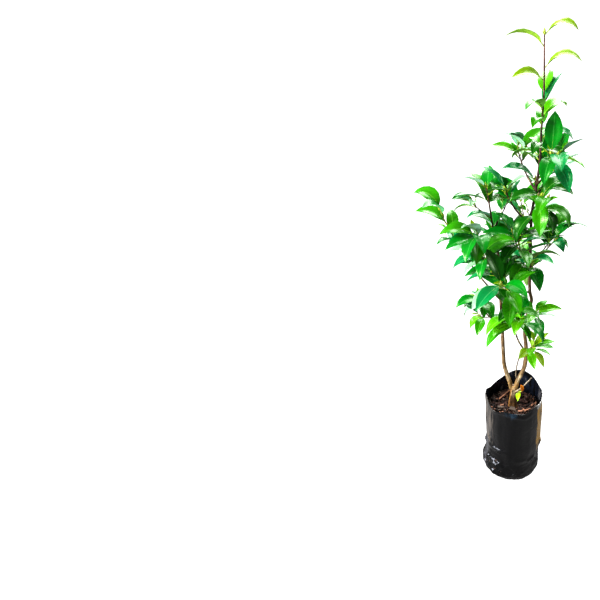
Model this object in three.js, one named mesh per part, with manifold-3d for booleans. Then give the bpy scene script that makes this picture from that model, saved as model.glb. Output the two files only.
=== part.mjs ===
// A young camellia shrub in its black planter bag. Millimetres, +Z up.
// The origin is the centre of the bag's flat underside, and heights are above the ground.
// One trunk forks into two stems. Boughs leave the stems, and each bough, or a stem's own
// tip, ends in a mass: leafy shoots that a seeded rule grows and fuses into one solid.

import * as THREE from "three";
import Module from "manifold-3d";

const wasm = await Module();
wasm.setup();

// ---------------------------------------------------------------- driving dimensions

const GAP = 0.3; // between neighbouring pieces that touch on the real plant
const FILL_GAP = 0.7; // between the bag's faceted wall and what fills it

// The planter bag: a folded polythene pot of about three litres. It bulges over its foot,
// is drawn in above that, and leans a little.
const BAG_WALL = 1.2;
const BAG_SIDES = 28;
const SOIL_LEVEL = 210;
const BAG_PROFILE = [
  // height, mean radius, centre along X
  [0, 52, 0],
  [4, 60, 0],
  [12, 65.5, 0],
  [22, 69, 0],
  [40, 67.5, 0.5],
  [60, 64, 1.5],
  [110, 64.5, 3],
  [SOIL_LEVEL, 65, 1.5],
];
const BAG_FLOOR = BAG_PROFILE[1][0]; // the inside stands on the gathered film of the base
const RIM_RADIUS = 65;
const FOLD_REACH = 2.5; // how far the two side folds stand out at soil level
const FOLD_AZIMUTH = 5;
const RIM = [
  // azimuth, height of each corner of the slack rim
  [12, 254],
  [29, 256],
  [50, 271],
  [75, 277],
  [92, 273],
  [115, 258],
  [140, 241],
  [155, 239],
  [178, 252],
  [205, 246],
  [224, 228],
  [250, 240],
  [298, 236],
  [318, 248],
  [343, 248],
];

// The short trunk, with its root flare at soil level, widening again to the fork.
const TRUNK_SIDES = 10;
const FORK_HEIGHT = 274;
const TRUNK_RINGS = [
  // height, centre along X, half width along X, half width along Y
  [SOIL_LEVEL + GAP, 0, 11, 10.5],
  [214, 0, 8.6, 8.2],
  [222, 0, 7, 6.6],
  [242, -0.5, 6.3, 5.9],
  [260, -1, 8, 5.8],
  [FORK_HEIGHT, -2, 11, 5.6],
];

// The two stems: height, x, y and radius from the fork up to the tip of the plant.
const STEM_SIDES = 8;
const STEMS = {
  right: [
    [FORK_HEIGHT, 3.8, 0, 5],
    [297, 8, 0, 5],
    [312, 14, 1, 5],
    [338, 21, 3, 5],
    [370, 23, 5, 4.8],
    [400, 21, 7, 4.3],
    [434, 17, 9, 4],
    [478, 20, 11, 3.8],
    [520, 27, 12, 3.6],
    [548, 22, 13, 3.5],
    [604, 20, 14, 3.3],
    [666, 18, 14, 3.1],
    [732, 17, 13, 2.9],
    [793, 22, 11, 2.6],
    [853, 26, 9, 2.4],
    [914, 25, 7, 2.1],
    [990, 25, 4, 1.7],
    [1090, 20, 0, 1],
  ],
  left: [
    [FORK_HEIGHT, -8, -1, 4.8],
    [291, -11.5, -2, 4.8],
    [314, -18, -4, 4.8],
    [347, -25, -7, 4.6],
    [386, -28, -10, 4.2],
    [439, -31, -14, 3.9],
    [484, -34, -18, 3.6],
    [541, -37, -22, 3.3],
    [583, -38, -25, 3],
    [627, -40, -28, 2.8],
    [656, -44, -30, 2.6],
    [683, -49, -32, 2.4],
    [708, -54, -34, 2.2],
    [757, -61, -37, 1.8],
    [798, -67, -40, 1.4],
    [822, -71, -41, 1],
  ],
};
STEMS.trunk = TRUNK_RINGS.map(([height, x, halfWidth]) => [height, x, 0, halfWidth]);

// Above these heights a stem is bare no more: it runs on as the stem of its top masses.
const STEM_TOPS = { right: 846, left: 675 };

// Leaves, as blades of a few flat facets.
const LEAF_SLENDERNESS = 0.44; // width over length
const LEAF_THICKNESS = 0.014; // of the leaf's length
const LEAF_FOLD = 20; // degrees that each half stands up from the midrib
const LEAF_STATIONS = [0.28, 0.66]; // shares of the length where the blade has a section
const LEAF_STALK = 9;
const STALK_RADIUS = 0.9;

// Shoots and boughs.
const SHOOT_STEP = 8; // length of one step of growth
const BOUGH_RADIUS = 2.1;
const SHOOT_RADIUS = 1.6;
const TWIG_RADIUS = 1.2;
const TIP_RADIUS = 0.8;
const BOUGH_FROM = 40; // a shoot with a longer bare foot than this has it as a bough of its own
const LEAFLESS_END = 3; // length at either end of a shoot that bears no leaf
const LEAF_TO_LEAF = 4.5; // least distance between leaves of two masses
const LEAF_TO_LIMB = 1.6; // least distance between a leaf and another piece's bark
const LOWEST_LEAF = 280; // leaves keep above the bag's rim, or well inside it
const OVER_SOIL = 5; // least height of a low leaf over the potting mix
const INSIDE_RIM = 50; // furthest reach of a low leaf from the middle of the bag

// Where a leaf or limb is tested against its neighbours.
const SPOT_ROWS = 10; // along a blade
const SPOT_ACROSS = [-1, -0.5, 0, 0.5, 1]; // shares of the half width
const STALK_SPOTS = [4, 7]; // distances from the shoot
const SPOT_SPACING = 3; // along a limb
const LEAF_REACH = 80; // leaves whose middles are further apart can't touch

const SMOOTHING = 0.05; // fused solids lose vertices that matter less than this

// Sides of the round sections.
const BOUGH_SIDES = 5;
const SHOOT_SIDES = 4;
const TWIG_SIDES = 3;
const BOUGH_STEPS = 4; // sections along a bough

// What a shoot does unless its row says otherwise. Angles are in degrees.
const HABIT = {
  curl: 20, // how far its rise turns up from foot to tip
  first: 0.12, // share of the leafy length below the first leaf
  crowd: 1.25, // over 1, leaves stand closer towards the tip
  open: 60, // between a leaf's stalk and the shoot
  lift: 0.2, // pull of a stalk towards the light
  droop: 55, // how far a blade arches down
  divergence: 144, // turn from one leaf to the next
  sides: 0, // side twigs
  sideLeaves: 3,
};

// The stems of the masses that top the two stems.
const TOP_STEMS = {
  leader_collar: ["right", 846, 904],
  leader_top: ["right", 904, 1090],
  left_crown: ["left", 675, 822],
};

// Every shoot: the mass it belongs to, the stem it leaves and the height there, then its
// own direction, lengths and leaves. A row with an end height is a flush of growth that
// lies along the stem itself.
const SHOOTS = [
  {
    mass: "leader_top", on: "right", from: 904, to: 960,
    leaves: 5, size: 66, spin: 95, seed: 294,
    first: 0.15, crowd: 1, open: 55, lift: 0.5, droop: 90, divergence: 166,
  },
  {
    mass: "leader_top", on: "right", from: 965, to: 1010,
    leaves: 2, size: 66, spin: 85, seed: 673,
    first: 0.2, crowd: 1, open: 70, lift: 0.3, droop: 60, divergence: 152,
  },
  {
    mass: "leader_top", on: "right", from: 1025, to: 1070,
    leaves: 2, size: 64, spin: 40, seed: 768,
    first: 0.2, crowd: 1, open: 55, lift: 0.3, droop: 90, divergence: 180,
  },
  {
    mass: "leader_top", on: "right", from: 1078, to: 1090,
    leaves: 1, size: 60, spin: 30, seed: 840,
    first: 0.1, open: 70, lift: 0.3, droop: 85,
  },
  {
    mass: "leader_collar", on: "right", from: 846, to: 904,
    leaves: 7, size: 58, spin: 75, seed: 848,
    first: 0.1, crowd: 1, lift: 0, droop: 95, divergence: 138,
  },
  {
    mass: "upper_right", on: "right", from: 801, azimuth: 305, rise: 55, bare: 76, leafy: 24,
    leaves: 3, size: 72, spin: 275, seed: 625, sides: 1, sideLeaves: 4,
    first: 0.07, open: 65, lift: 0, droop: 70, divergence: 152,
  },
  {
    mass: "mid_right", on: "right", from: 762, azimuth: 45, rise: 60, bare: 48, leafy: 36,
    leaves: 7, size: 72, spin: 260, seed: 660, sides: 1, sideLeaves: 2,
    first: 0.08, open: 35, lift: 0, droop: 30, divergence: 152,
  },
  {
    mass: "front_right", on: "right", from: 675, azimuth: 280, rise: 60, bare: 96, leafy: 64,
    leaves: 6, size: 68, spin: 195, seed: 838, sides: 1,
    curl: 10, first: 0.02, open: 70, lift: 0, droop: 95, divergence: 140,
  },
  {
    mass: "low_right", on: "right", from: 604, azimuth: 25, rise: 55, bare: 28, leafy: 72,
    leaves: 6, size: 62, spin: 10, seed: 965, sides: 1,
    curl: 0, first: 0.32, open: 50, lift: 0.5, droop: 95, divergence: 142,
  },
  {
    mass: "front_shoot", on: "right", from: 602, azimuth: 265, rise: 40, bare: 24, leafy: 52,
    leaves: 5, size: 70, spin: 285, seed: 464,
    first: 0.28, open: 50, lift: 0.5, droop: 90, divergence: 154,
  },
  {
    mass: "behind_right", on: "right", from: 768, azimuth: 90, rise: 60, bare: 12, leafy: 28,
    leaves: 3, size: 70, spin: 150, seed: 836,
    curl: 0, first: 0.04, open: 75, lift: 0.3, droop: 75, divergence: 132,
  },
  {
    mass: "upper_left", on: "right", from: 789, azimuth: 125, rise: 45, bare: 64, leafy: 32,
    leaves: 5, size: 62, spin: 225, seed: 91, sides: 1,
    curl: 40, first: 0.49, lift: 0.1, droop: 50, divergence: 142,
  },
  {
    mass: "mid_left", on: "right", from: 712, azimuth: 220, rise: 55, bare: 80, leafy: 40,
    leaves: 4, size: 60, spin: 155, seed: 203, sides: 1,
    curl: 30, first: 0.1, open: 45, lift: 0, droop: 35, divergence: 132,
  },
  {
    mass: "inner_left", on: "right", from: 606, azimuth: 245, rise: 60, bare: 52, leafy: 96,
    leaves: 11, size: 62, spin: 20, seed: 137, sides: 1,
    curl: 30, first: 0.2, open: 70, lift: 0.1, droop: 40, divergence: 150,
  },
  {
    mass: "low_inner", on: "right", from: 544, azimuth: 250, rise: 35, bare: 88, leafy: 116,
    leaves: 11, size: 66, spin: 45, seed: 499, sides: 1,
    first: 0.22, open: 70, droop: 60, divergence: 130,
  },
  {
    mass: "short_right", on: "right", from: 470, azimuth: 305, rise: 50, bare: 20, leafy: 24,
    leaves: 8, size: 48, spin: 195, seed: 581,
    curl: 40, first: 0.02, open: 70, lift: 0.3, droop: 45,
  },
  {
    mass: "front_low", on: "right", from: 382, azimuth: 250, rise: 60, bare: 136, leafy: 68,
    leaves: 8, size: 68, spin: 90, seed: 886, sides: 1, sideLeaves: 4,
    curl: 30, first: 0.04, open: 55, lift: 0.1, droop: 90, divergence: 128,
  },
  {
    mass: "lowest_right", on: "right", from: 386, azimuth: 305, rise: 40, bare: 12, leafy: 24,
    leaves: 8, size: 46, spin: 245, seed: 616, sides: 1,
    curl: 0, first: 0.02, open: 55, lift: 0, droop: 30, divergence: 146,
  },
  {
    mass: "back_low", on: "right", from: 528, azimuth: 95, rise: 20, bare: 52, leafy: 60,
    leaves: 7, size: 72, spin: 10, seed: 320, sides: 1,
    curl: 0, first: 0.24, open: 45, lift: 0, droop: 95, divergence: 130,
  },
  {
    mass: "back_mid", on: "right", from: 646, azimuth: 110, rise: 50, bare: 52, leafy: 60,
    leaves: 4, size: 72, spin: 180, seed: 533, sides: 1,
    curl: 0, first: 0.07, open: 55, lift: 0.4, droop: 35, divergence: 178,
  },
  {
    mass: "back_left", on: "left", from: 576, azimuth: 85, rise: 80, bare: 16, leafy: 88,
    leaves: 9, size: 72, spin: 40, seed: 188, sides: 1,
    curl: 30, open: 65, lift: 0, droop: 90, divergence: 136,
  },
  {
    mass: "left_crown", on: "left", from: 675, to: 725,
    leaves: 6, size: 66, spin: 220, seed: 132,
    first: 0.1, crowd: 1, open: 35, lift: 0.5, droop: 90, divergence: 152,
  },
  {
    mass: "left_crown", on: "left", from: 725, to: 775,
    leaves: 4, size: 72, spin: 130, seed: 681,
    first: 0.1, crowd: 1, open: 35, lift: 0.1, droop: 80, divergence: 136,
  },
  {
    mass: "left_crown", on: "left", from: 775, to: 822,
    leaves: 5, size: 54, spin: 130, seed: 307,
    first: 0.15, crowd: 1, lift: 0, droop: 30, divergence: 132,
  },
  {
    mass: "left_crown", on: "left", from: 698, azimuth: 240, rise: 30, bare: 56, leafy: 24,
    leaves: 7, size: 68, spin: 185, seed: 920,
    curl: 40, crowd: 1, open: 45, lift: 0.1, droop: 70, divergence: 138,
  },
  {
    mass: "left_crown", on: "left", from: 724, azimuth: 60, rise: 40, bare: 12, leafy: 64,
    leaves: 4, size: 72, spin: 290, seed: 50,
    crowd: 1, open: 40, lift: 0, droop: 75, divergence: 132,
  },
  {
    mass: "left_crown", on: "left", from: 747, azimuth: 190, rise: 45, bare: 36, leafy: 24,
    leaves: 4, size: 46, spin: 250, seed: 154,
    curl: 0, crowd: 1, open: 50, lift: 0.4, droop: 75, divergence: 156,
  },
  {
    mass: "far_left", on: "left", from: 541, azimuth: 180, rise: 60, bare: 100, leafy: 156,
    leaves: 6, size: 68, spin: 195, seed: 435,
    first: 0.2, open: 35, lift: 0.3, droop: 85, divergence: 142,
  },
  {
    mass: "left_low", on: "left", from: 472, azimuth: 210, rise: 55, bare: 60, leafy: 36,
    leaves: 3, size: 62, spin: 210, seed: 381, sides: 1, sideLeaves: 4,
    curl: 40, first: 0.02, open: 70, lift: 0, droop: 75, divergence: 148,
  },
  {
    mass: "left_wide", on: "left", from: 623, azimuth: 245, rise: 45, bare: 16, leafy: 88,
    leaves: 10, size: 64, spin: 35, seed: 71, sides: 1, sideLeaves: 4,
    curl: 30, first: 0.2, lift: 0.1, droop: 95, divergence: 138,
  },
  {
    mass: "left_hang", on: "left", from: 498, azimuth: 220, rise: 20, bare: 16, leafy: 48,
    leaves: 4, size: 56, spin: 50, seed: 673,
    curl: 30, crowd: 1, lift: 0.1, droop: 75, divergence: 150,
  },
  {
    mass: "young_shoot", on: "trunk", from: 250, azimuth: 330, rise: 40, bare: 12, leafy: 8,
    leaves: 1, size: 28, spin: 180, seed: 32,
    lift: 0, droop: 75,
  },
];

// Dead wood: a twig that stands up between the stems, and a stub on the trunk.
const DEAD_TWIGS = {
  dead_twig: {
    on: "right",
    radii: [1.2, 1.1, 1, 0.9, 0.6],
    points: [
      [8, 0, 296],
      [3, -3, 309],
      [3, -4, 335],
      [7, -4, 366],
      [11, -4, 394],
    ],
  },
  dead_stub: {
    on: "trunk",
    radii: [1.7, 1.5, 1.2, 0.8],
    points: [
      [0, -2, 256],
      [12, -9, 272],
      [25, -8, 290],
      [38, -4, 308],
    ],
  },
};

// ---------------------------------------------------------------- small geometry

const radians = THREE.MathUtils.degToRad;
const { lerp } = THREE.MathUtils;
const UP = new THREE.Vector3(0, 0, 1);

const at = (x, y, z) => new THREE.Vector3(x, y, z);

// A repeatable number from 0 to 1 for the given seed and index.
function jitter(seed, index) {
  const wave = Math.sin(seed * 12.9898 + index * 78.233) * 43758.5453;
  return wave - Math.floor(wave);
}

// The unit vector with this azimuth and rise, in radians.
function aim(azimuth, rise) {
  const level = Math.cos(rise);
  return at(level * Math.cos(azimuth), level * Math.sin(azimuth), Math.sin(rise));
}

// A closed solid through rings of points that run anticlockwise round the way they go.
// A ring of one point ends the solid in a tip.
function loft(rings) {
  const positions = rings.flat().flatMap((point) => point.toArray());
  const starts = [];
  rings.reduce((start, ring) => (starts.push(start), start + ring.length), 0);
  const index = [];
  for (let i = 1; i < rings.length; i++) {
    const sides = rings[i - 1].length;
    for (let k = 0; k < sides; k++) {
      const next = (k + 1) % sides;
      const a = starts[i - 1] + k;
      const b = starts[i - 1] + next;
      if (rings[i].length === 1) {
        index.push(a, b, starts[i]);
      } else {
        index.push(a, b, starts[i] + next, a, starts[i] + next, starts[i] + k);
      }
    }
  }
  const first = rings[0].length;
  for (let k = 1; k < first - 1; k++) {
    index.push(0, k + 1, k);
  }
  const last = starts.at(-1);
  for (let k = 1; k < rings.at(-1).length - 1; k++) {
    index.push(last, last + k, last + k + 1);
  }
  const geometry = new THREE.BufferGeometry();
  geometry.setAttribute("position", new THREE.Float32BufferAttribute(positions, 3));
  geometry.setIndex(index);
  return geometry;
}

// A limb: round sections along a path, each square to it, with one radius a point.
function limb(points, radii, sides) {
  let across = at(1, 0, 0);
  const rings = points.map((point, i) => {
    const ahead = points[Math.min(i + 1, points.length - 1)].clone();
    ahead.sub(points[Math.max(i - 1, 0)]).normalize();
    across = across.clone().addScaledVector(ahead, -across.dot(ahead)).normalize();
    const over = ahead.clone().cross(across);
    return Array.from({ length: sides }, (_, k) => {
      const angle = (2 * Math.PI * k) / sides;
      return point
        .clone()
        .addScaledVector(across, Math.cos(angle) * radii[i])
        .addScaledVector(over, Math.sin(angle) * radii[i]);
    });
  });
  return loft(rings);
}

function solidOf(geometry) {
  return new wasm.Manifold(
    new wasm.Mesh({
      numProp: 3,
      vertProperties: new Float32Array(geometry.attributes.position.array),
      triVerts: new Uint32Array(geometry.index.array),
    }),
  );
}

function geometryOf(solid) {
  const { vertProperties, triVerts } = solid.getMesh();
  const geometry = new THREE.BufferGeometry();
  geometry.setAttribute("position", new THREE.Float32BufferAttribute(vertProperties, 3));
  geometry.setIndex([...triVerts]);
  return geometry;
}

// The main body of a solid: loose scraps go, and sealed hollows are filled.
function mainBody(solid) {
  const bodies = solid.decompose();
  const main = bodies.reduce((best, body) => (body.volume() > best.volume() ? body : best));
  return main.asOriginal().simplify(SMOOTHING);
}

// ---------------------------------------------------------------- planter and trunk

// A level ring of the bag's wall, with the two side folds standing out more towards the rim.
function bagRing(height, meanRadius, centre, inset) {
  return Array.from({ length: BAG_SIDES }, (_, k) => {
    const azimuth = (2 * Math.PI * k) / BAG_SIDES;
    const fold = Math.cos(2 * (azimuth - radians(FOLD_AZIMUTH)));
    const radius = meanRadius + (FOLD_REACH * fold * height) / SOIL_LEVEL - inset;
    return at(centre + radius * Math.cos(azimuth), radius * Math.sin(azimuth), height);
  });
}

// The height of the rim at an azimuth in degrees, straight from corner to corner.
function rimHeight(azimuth) {
  const next = RIM.findIndex(([corner]) => corner >= azimuth);
  const [after, before] = [RIM.at(Math.max(next, 0)), RIM.at(next < 0 ? -1 : next - 1)];
  const span = (after[0] - before[0] + 360) % 360;
  return lerp(before[1], after[1], ((azimuth - before[0] + 360) % 360) / span);
}

function rimRing(inset) {
  return bagRing(SOIL_LEVEL, RIM_RADIUS, 0, inset).map((point, k) =>
    point.setZ(rimHeight((360 * k) / BAG_SIDES)),
  );
}

function bag() {
  const outside = BAG_PROFILE.map(([height, radius, centre]) => bagRing(height, radius, centre, 0));
  const inside = BAG_PROFILE.slice(1).map(([height, radius, centre]) =>
    bagRing(height, radius, centre, BAG_WALL),
  );
  return loft([...outside, rimRing(0), rimRing(BAG_WALL), ...inside.reverse()]);
}

function pottingMix() {
  return loft(
    BAG_PROFILE.slice(1).map(([height, radius, centre]) =>
      bagRing(Math.max(height, BAG_FLOOR + GAP), radius, centre, BAG_WALL + FILL_GAP),
    ),
  );
}

function trunk(swell = 0) {
  return loft(
    TRUNK_RINGS.map(([height, centre, halfWidth, halfDepth]) =>
      Array.from({ length: TRUNK_SIDES }, (_, k) => {
        const angle = (2 * Math.PI * k) / TRUNK_SIDES;
        const x = centre + (halfWidth + swell) * Math.cos(angle);
        const top = height === FORK_HEIGHT ? swell : 0;
        return at(x, (halfDepth + swell) * Math.sin(angle), height + top);
      }),
    ),
  );
}

// ---------------------------------------------------------------- stems

// A stem's centre and radius at a height.
function stemAt(name, height) {
  const rows = STEMS[name];
  const i = Math.max(1, rows.findIndex((row) => row[0] >= height));
  const [low, high] = [rows[i - 1], rows[i]];
  const share = (height - low[0]) / (high[0] - low[0]);
  const [x, y, radius] = [1, 2, 3].map((k) => lerp(low[k], high[k], share));
  return { point: at(x, y, height), radius };
}

// The rows of a stem between two heights, as centres and radii.
function stretch(name, from, to) {
  const heights = STEMS[name].map((row) => row[0]).filter((z) => z > from && z < to);
  const stations = [from, ...heights, to].map((height) => stemAt(name, height));
  return { points: stations.map((s) => s.point), radii: stations.map((s) => s.radius) };
}

function stem(name, swell = 0) {
  const { points, radii } = stretch(name, FORK_HEIGHT + GAP, STEM_TOPS[name]);
  return limb(points, radii.map((radius) => radius + swell), STEM_SIDES);
}

// ---------------------------------------------------------------- growth

// A shoot's path: it starts out flatter than its rise and turns up by the curl.
function reach(start, azimuth, rise, curl, length) {
  const steps = Math.max(3, Math.floor(length / SHOOT_STEP + 0.5));
  const points = [start];
  for (let i = 0; i < steps; i++) {
    const heading = aim(radians(azimuth), radians(rise + (curl * (i + 0.5)) / steps));
    points.push(points[i].clone().addScaledVector(heading, length / steps));
  }
  return points;
}

// The point and heading at a share of a path.
function along(points, share) {
  const x = Math.min(Math.max(share, 0), 1) * (points.length - 1);
  const i = Math.min(Math.floor(x), points.length - 2);
  const step = points[i + 1].clone().sub(points[i]);
  return { point: points[i].clone().addScaledVector(step, x - i), heading: step.normalize() };
}

// The points of a path between two shares, in the given number of steps.
function part(points, from, to, steps) {
  return Array.from({ length: steps + 1 }, (_, i) => along(points, lerp(from, to, i / steps)).point);
}

// The leaves of a shoot, from foot to tip, each turned on from the one before.
function leavesOn(path, shoot) {
  const length = path.slice(1).reduce((sum, point, i) => sum + point.distanceTo(path[i]), 0);
  return Array.from({ length: shoot.leaves }, (_, i) => {
    const behind = (shoot.leaves - 1 - i) / Math.max(1, shoot.leaves - 1);
    const slot = (1 - shoot.first) / shoot.leaves;
    const shift = (jitter(shoot.seed, i + 250) - 0.5) * 0.6 * slot;
    const share = 1 - (1 - shoot.first) * behind ** shoot.crowd + shift;
    const margin = LEAFLESS_END / length;
    const { point, heading } = along(path, THREE.MathUtils.clamp(share, margin, 1 - margin));
    let level = UP.clone().cross(heading);
    level = level.lengthSq() < 1e-6 ? at(1, 0, 0) : level.normalize();
    const over = heading.clone().cross(level);
    const turn = radians(shoot.spin + i * shoot.divergence + (jitter(shoot.seed, i) - 0.5) * 40);
    const outward = level.multiplyScalar(Math.cos(turn)).addScaledVector(over, Math.sin(turn));
    const open = radians(shoot.open - 18 * (1 - behind) + (jitter(shoot.seed, i + 50) - 0.5) * 16);
    const stalk = heading.clone().multiplyScalar(Math.cos(open));
    stalk.addScaledVector(outward, Math.sin(open)).normalize();
    stalk.addScaledVector(UP, shoot.lift).normalize();
    return {
      at: point,
      azimuth: Math.atan2(stalk.y, stalk.x),
      rise: Math.asin(THREE.MathUtils.clamp(stalk.z, -1, 1)),
      droop: radians(shoot.droop * (0.7 + 0.6 * jitter(shoot.seed, i + 150))),
      roll: radians((jitter(shoot.seed, i + 200) - 0.5) * 50),
      length: shoot.size * (0.82 + 0.34 * jitter(shoot.seed, i + 100)),
    };
  });
}

// A leaf's blade at a share of its length: an arc that bends down from stalk to tip.
function blade(leaf, share) {
  const { azimuth, rise, droop, length } = leaf;
  const bend = rise - droop * share;
  const middle = leaf.at.clone().addScaledVector(aim(azimuth, rise), LEAF_STALK);
  middle.addScaledVector(aim(azimuth, 0), ((Math.sin(rise) - Math.sin(bend)) / droop) * length);
  middle.addScaledVector(UP, ((Math.cos(bend) - Math.cos(rise)) / droop) * length);
  const side = at(-Math.sin(azimuth), Math.cos(azimuth), 0);
  const face = aim(azimuth, bend).cross(side);
  const across = side.clone().multiplyScalar(Math.cos(leaf.roll));
  across.addScaledVector(face, Math.sin(leaf.roll));
  const over = face.clone().multiplyScalar(Math.cos(leaf.roll));
  over.addScaledVector(side, -Math.sin(leaf.roll));
  const half = (Math.sin(Math.PI * share ** 0.85) * LEAF_SLENDERNESS * length) / 2;
  return { middle, across, over, half };
}

// A point on the blade, at a share of the half width from the midrib.
function bladePoint({ middle, across, over, half }, share) {
  return middle
    .clone()
    .addScaledVector(across, share * half * Math.cos(radians(LEAF_FOLD)))
    .addScaledVector(over, Math.abs(share) * half * Math.sin(radians(LEAF_FOLD)));
}

// A leaf as a thin solid with its stalk, rooted in the middle of its shoot.
function leafShape(leaf) {
  const root = { ...blade(leaf, 0), middle: leaf.at };
  const rings = LEAF_STATIONS.map((share) => {
    const section = blade(leaf, share);
    const thick = Math.max(STALK_RADIUS, (leaf.length * LEAF_THICKNESS) / 2);
    return [
      bladePoint(section, 1),
      section.middle.clone().addScaledVector(section.over, thick),
      bladePoint(section, -1),
      section.middle.clone().addScaledVector(section.over, -thick),
    ];
  });
  const foot = [
    [1, 0],
    [0, 1],
    [-1, 0],
    [0, -1],
  ].map(([x, y]) =>
    root.middle
      .clone()
      .addScaledVector(root.across, x * STALK_RADIUS)
      .addScaledVector(root.over, y * STALK_RADIUS),
  );
  return loft([foot, ...rings, [blade(leaf, 1).middle]]);
}

// Radii that taper evenly over a number of points.
function taper(from, to, count) {
  return Array.from({ length: count }, (_, i) => lerp(from, to, i / (count - 1)));
}

// ---------------------------------------------------------------- growing the masses

// A shoot's path, split where its bare foot ends and its leaves begin. A flush of growth
// along a stem has no foot.
function pathsOf(shoot) {
  const steps = (length) => Math.max(3, Math.floor(length / SHOOT_STEP + 0.5));
  if (shoot.to) {
    const count = steps(shoot.to - shoot.from);
    const heights = taper(shoot.from, shoot.to, count + 1);
    return { bare: [], leafy: heights.map((height) => stemAt(shoot.on, height).point) };
  }
  const { azimuth, rise, curl, bare, leafy } = shoot;
  const start = stemAt(shoot.on, shoot.from).point;
  const whole = reach(start, azimuth, rise - curl / 2, curl, bare + leafy);
  const share = bare / (bare + leafy);
  return { bare: part(whole, 0, share, BOUGH_STEPS), leafy: part(whole, share, 1, steps(leafy)) };
}

// The side twigs of a shoot, thrown to either side in turn.
function sideShoots(path, shoot) {
  return Array.from({ length: shoot.sides }, (_, j) => {
    const share = 0.12 + (0.6 * j) / shoot.sides;
    const sign = (j + shoot.seed) % 2 === 0 ? 1 : -1;
    const azimuth = shoot.azimuth + sign * (38 + 25 * jitter(shoot.seed, j + 300));
    const rise = shoot.rise - 12 + 20 * jitter(shoot.seed, j + 310);
    const length = shoot.leafy * (0.55 - 0.2 * share) + 12;
    return {
      path: reach(along(path, share).point, azimuth, rise, 15, length),
      shoot: {
        ...shoot,
        leaves: shoot.sideLeaves,
        first: 0.45,
        seed: shoot.seed + 7 * (j + 1),
        spin: shoot.spin + 70 * (j + 1),
        size: shoot.size * 0.93,
      },
    };
  });
}

// Places in space that are taken: points on limbs with their radii, and points on leaves.
const takenByLimbs = [];
const takenByLeaves = [];

function takeLimb(owner, points, radii) {
  for (let i = 1; i < points.length; i++) {
    const count = Math.max(1, Math.ceil(points[i].distanceTo(points[i - 1]) / SPOT_SPACING));
    for (let k = 0; k < count; k++) {
      const share = (k + 0.5) / count;
      const point = points[i - 1].clone().lerp(points[i], share);
      takenByLimbs.push({ owner, point, radius: lerp(radii[i - 1], radii[i], share) });
    }
  }
}

// Whether a path keeps clear of every limb of another owner.
function twigIsClear(owner, path) {
  const near = TIP_RADIUS + LEAF_TO_LIMB;
  return !takenByLimbs.some(
    (limbSpot) =>
      limbSpot.owner !== owner &&
      path.some((point) => point.distanceTo(limbSpot.point) < limbSpot.radius + near),
  );
}

// Whether a point is above the planter, or over the potting mix and well inside the rim.
function keepsOffPlanter({ x, y, z }) {
  return z > LOWEST_LEAF || (z > SOIL_LEVEL + OVER_SOIL && Math.hypot(x, y) < INSIDE_RIM);
}

// Whether a leaf keeps off the planter, and clear of the limbs and leaves of others.
function leafIsClear(owner, spots) {
  if (!spots.points.every(keepsOffPlanter)) {
    return false;
  }
  const meetsLimb = takenByLimbs.some(
    (taken) =>
      taken.owner !== owner &&
      spots.points.some((spot) => spot.distanceTo(taken.point) < taken.radius + LEAF_TO_LIMB),
  );
  const meetsLeaf = takenByLeaves.some(
    (taken) =>
      taken.owner !== owner &&
      taken.middle.distanceTo(spots.middle) < LEAF_REACH &&
      taken.points.some((one) => spots.points.some((two) => one.distanceTo(two) < LEAF_TO_LEAF)),
  );
  return !meetsLimb && !meetsLeaf;
}

// Points spread over a leaf's blade, and two on its stalk.
function spotsOf(leaf) {
  const points = Array.from({ length: SPOT_ROWS }, (_, i) => blade(leaf, (i + 1) / SPOT_ROWS))
    .flatMap((section) => SPOT_ACROSS.map((across) => bladePoint(section, across)));
  const stalk = aim(leaf.azimuth, leaf.rise);
  points.push(...STALK_SPOTS.map((length) => leaf.at.clone().addScaledVector(stalk, length)));
  return { middle: blade(leaf, 0.5).middle, points };
}

// Grow every mass: first the limbs, then the side twigs, then the leaves, each skipped
// where it would touch something of another piece.
const boughs = new Map();
const masses = new Map();
for (const name of Object.keys(STEMS)) {
  const top = STEM_TOPS[name] ?? FORK_HEIGHT;
  const { points, radii } = stretch(name, STEMS[name][0][0], top);
  takeLimb(name, points, radii);
}
for (const [mass, [name, from, to]] of Object.entries(TOP_STEMS)) {
  const { points, radii } = stretch(name, from, to);
  points[0].z += GAP;
  takeLimb(mass, points, radii);
  masses.set(mass, { limbs: [limb(points, radii, SHOOT_SIDES)], leaves: [] });
}
const deadTwigs = Object.entries(DEAD_TWIGS).map(([name, { on, points, radii }]) => {
  const path = points.map((point) => at(...point));
  takeLimb(name, path, radii);
  return { name, on, geometry: limb(path, radii, SHOOT_SIDES) };
});
const shoots = SHOOTS.map((row) => ({ ...HABIT, ...row }));
const grown = [];
for (const shoot of shoots) {
  const { bare, leafy } = pathsOf(shoot);
  grown.push({ shoot, path: leafy });
  if (shoot.to) {
    continue;
  }
  let foot = bare;
  let body = leafy;
  if (shoot.bare >= BOUGH_FROM && !TOP_STEMS[shoot.mass]) {
    const radii = taper(BOUGH_RADIUS, SHOOT_RADIUS, bare.length);
    boughs.set(shoot.mass, { on: shoot.on, geometry: limb(bare, radii, BOUGH_SIDES) });
    takeLimb(`bough ${shoot.mass}`, bare, radii);
    body = [leafy[0].clone().addScaledVector(along(leafy, 0).heading, GAP), ...leafy.slice(1)];
    foot = [];
  }
  const points = [...foot.slice(0, -1), ...body];
  const radii = taper(SHOOT_RADIUS, TIP_RADIUS, points.length);
  takeLimb(shoot.mass, points, radii);
  if (!masses.has(shoot.mass)) {
    masses.set(shoot.mass, { limbs: [], leaves: [], cutBy: foot.length ? shoot.on : null });
  }
  masses.get(shoot.mass).limbs.push(limb(points, radii, SHOOT_SIDES));
}
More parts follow.
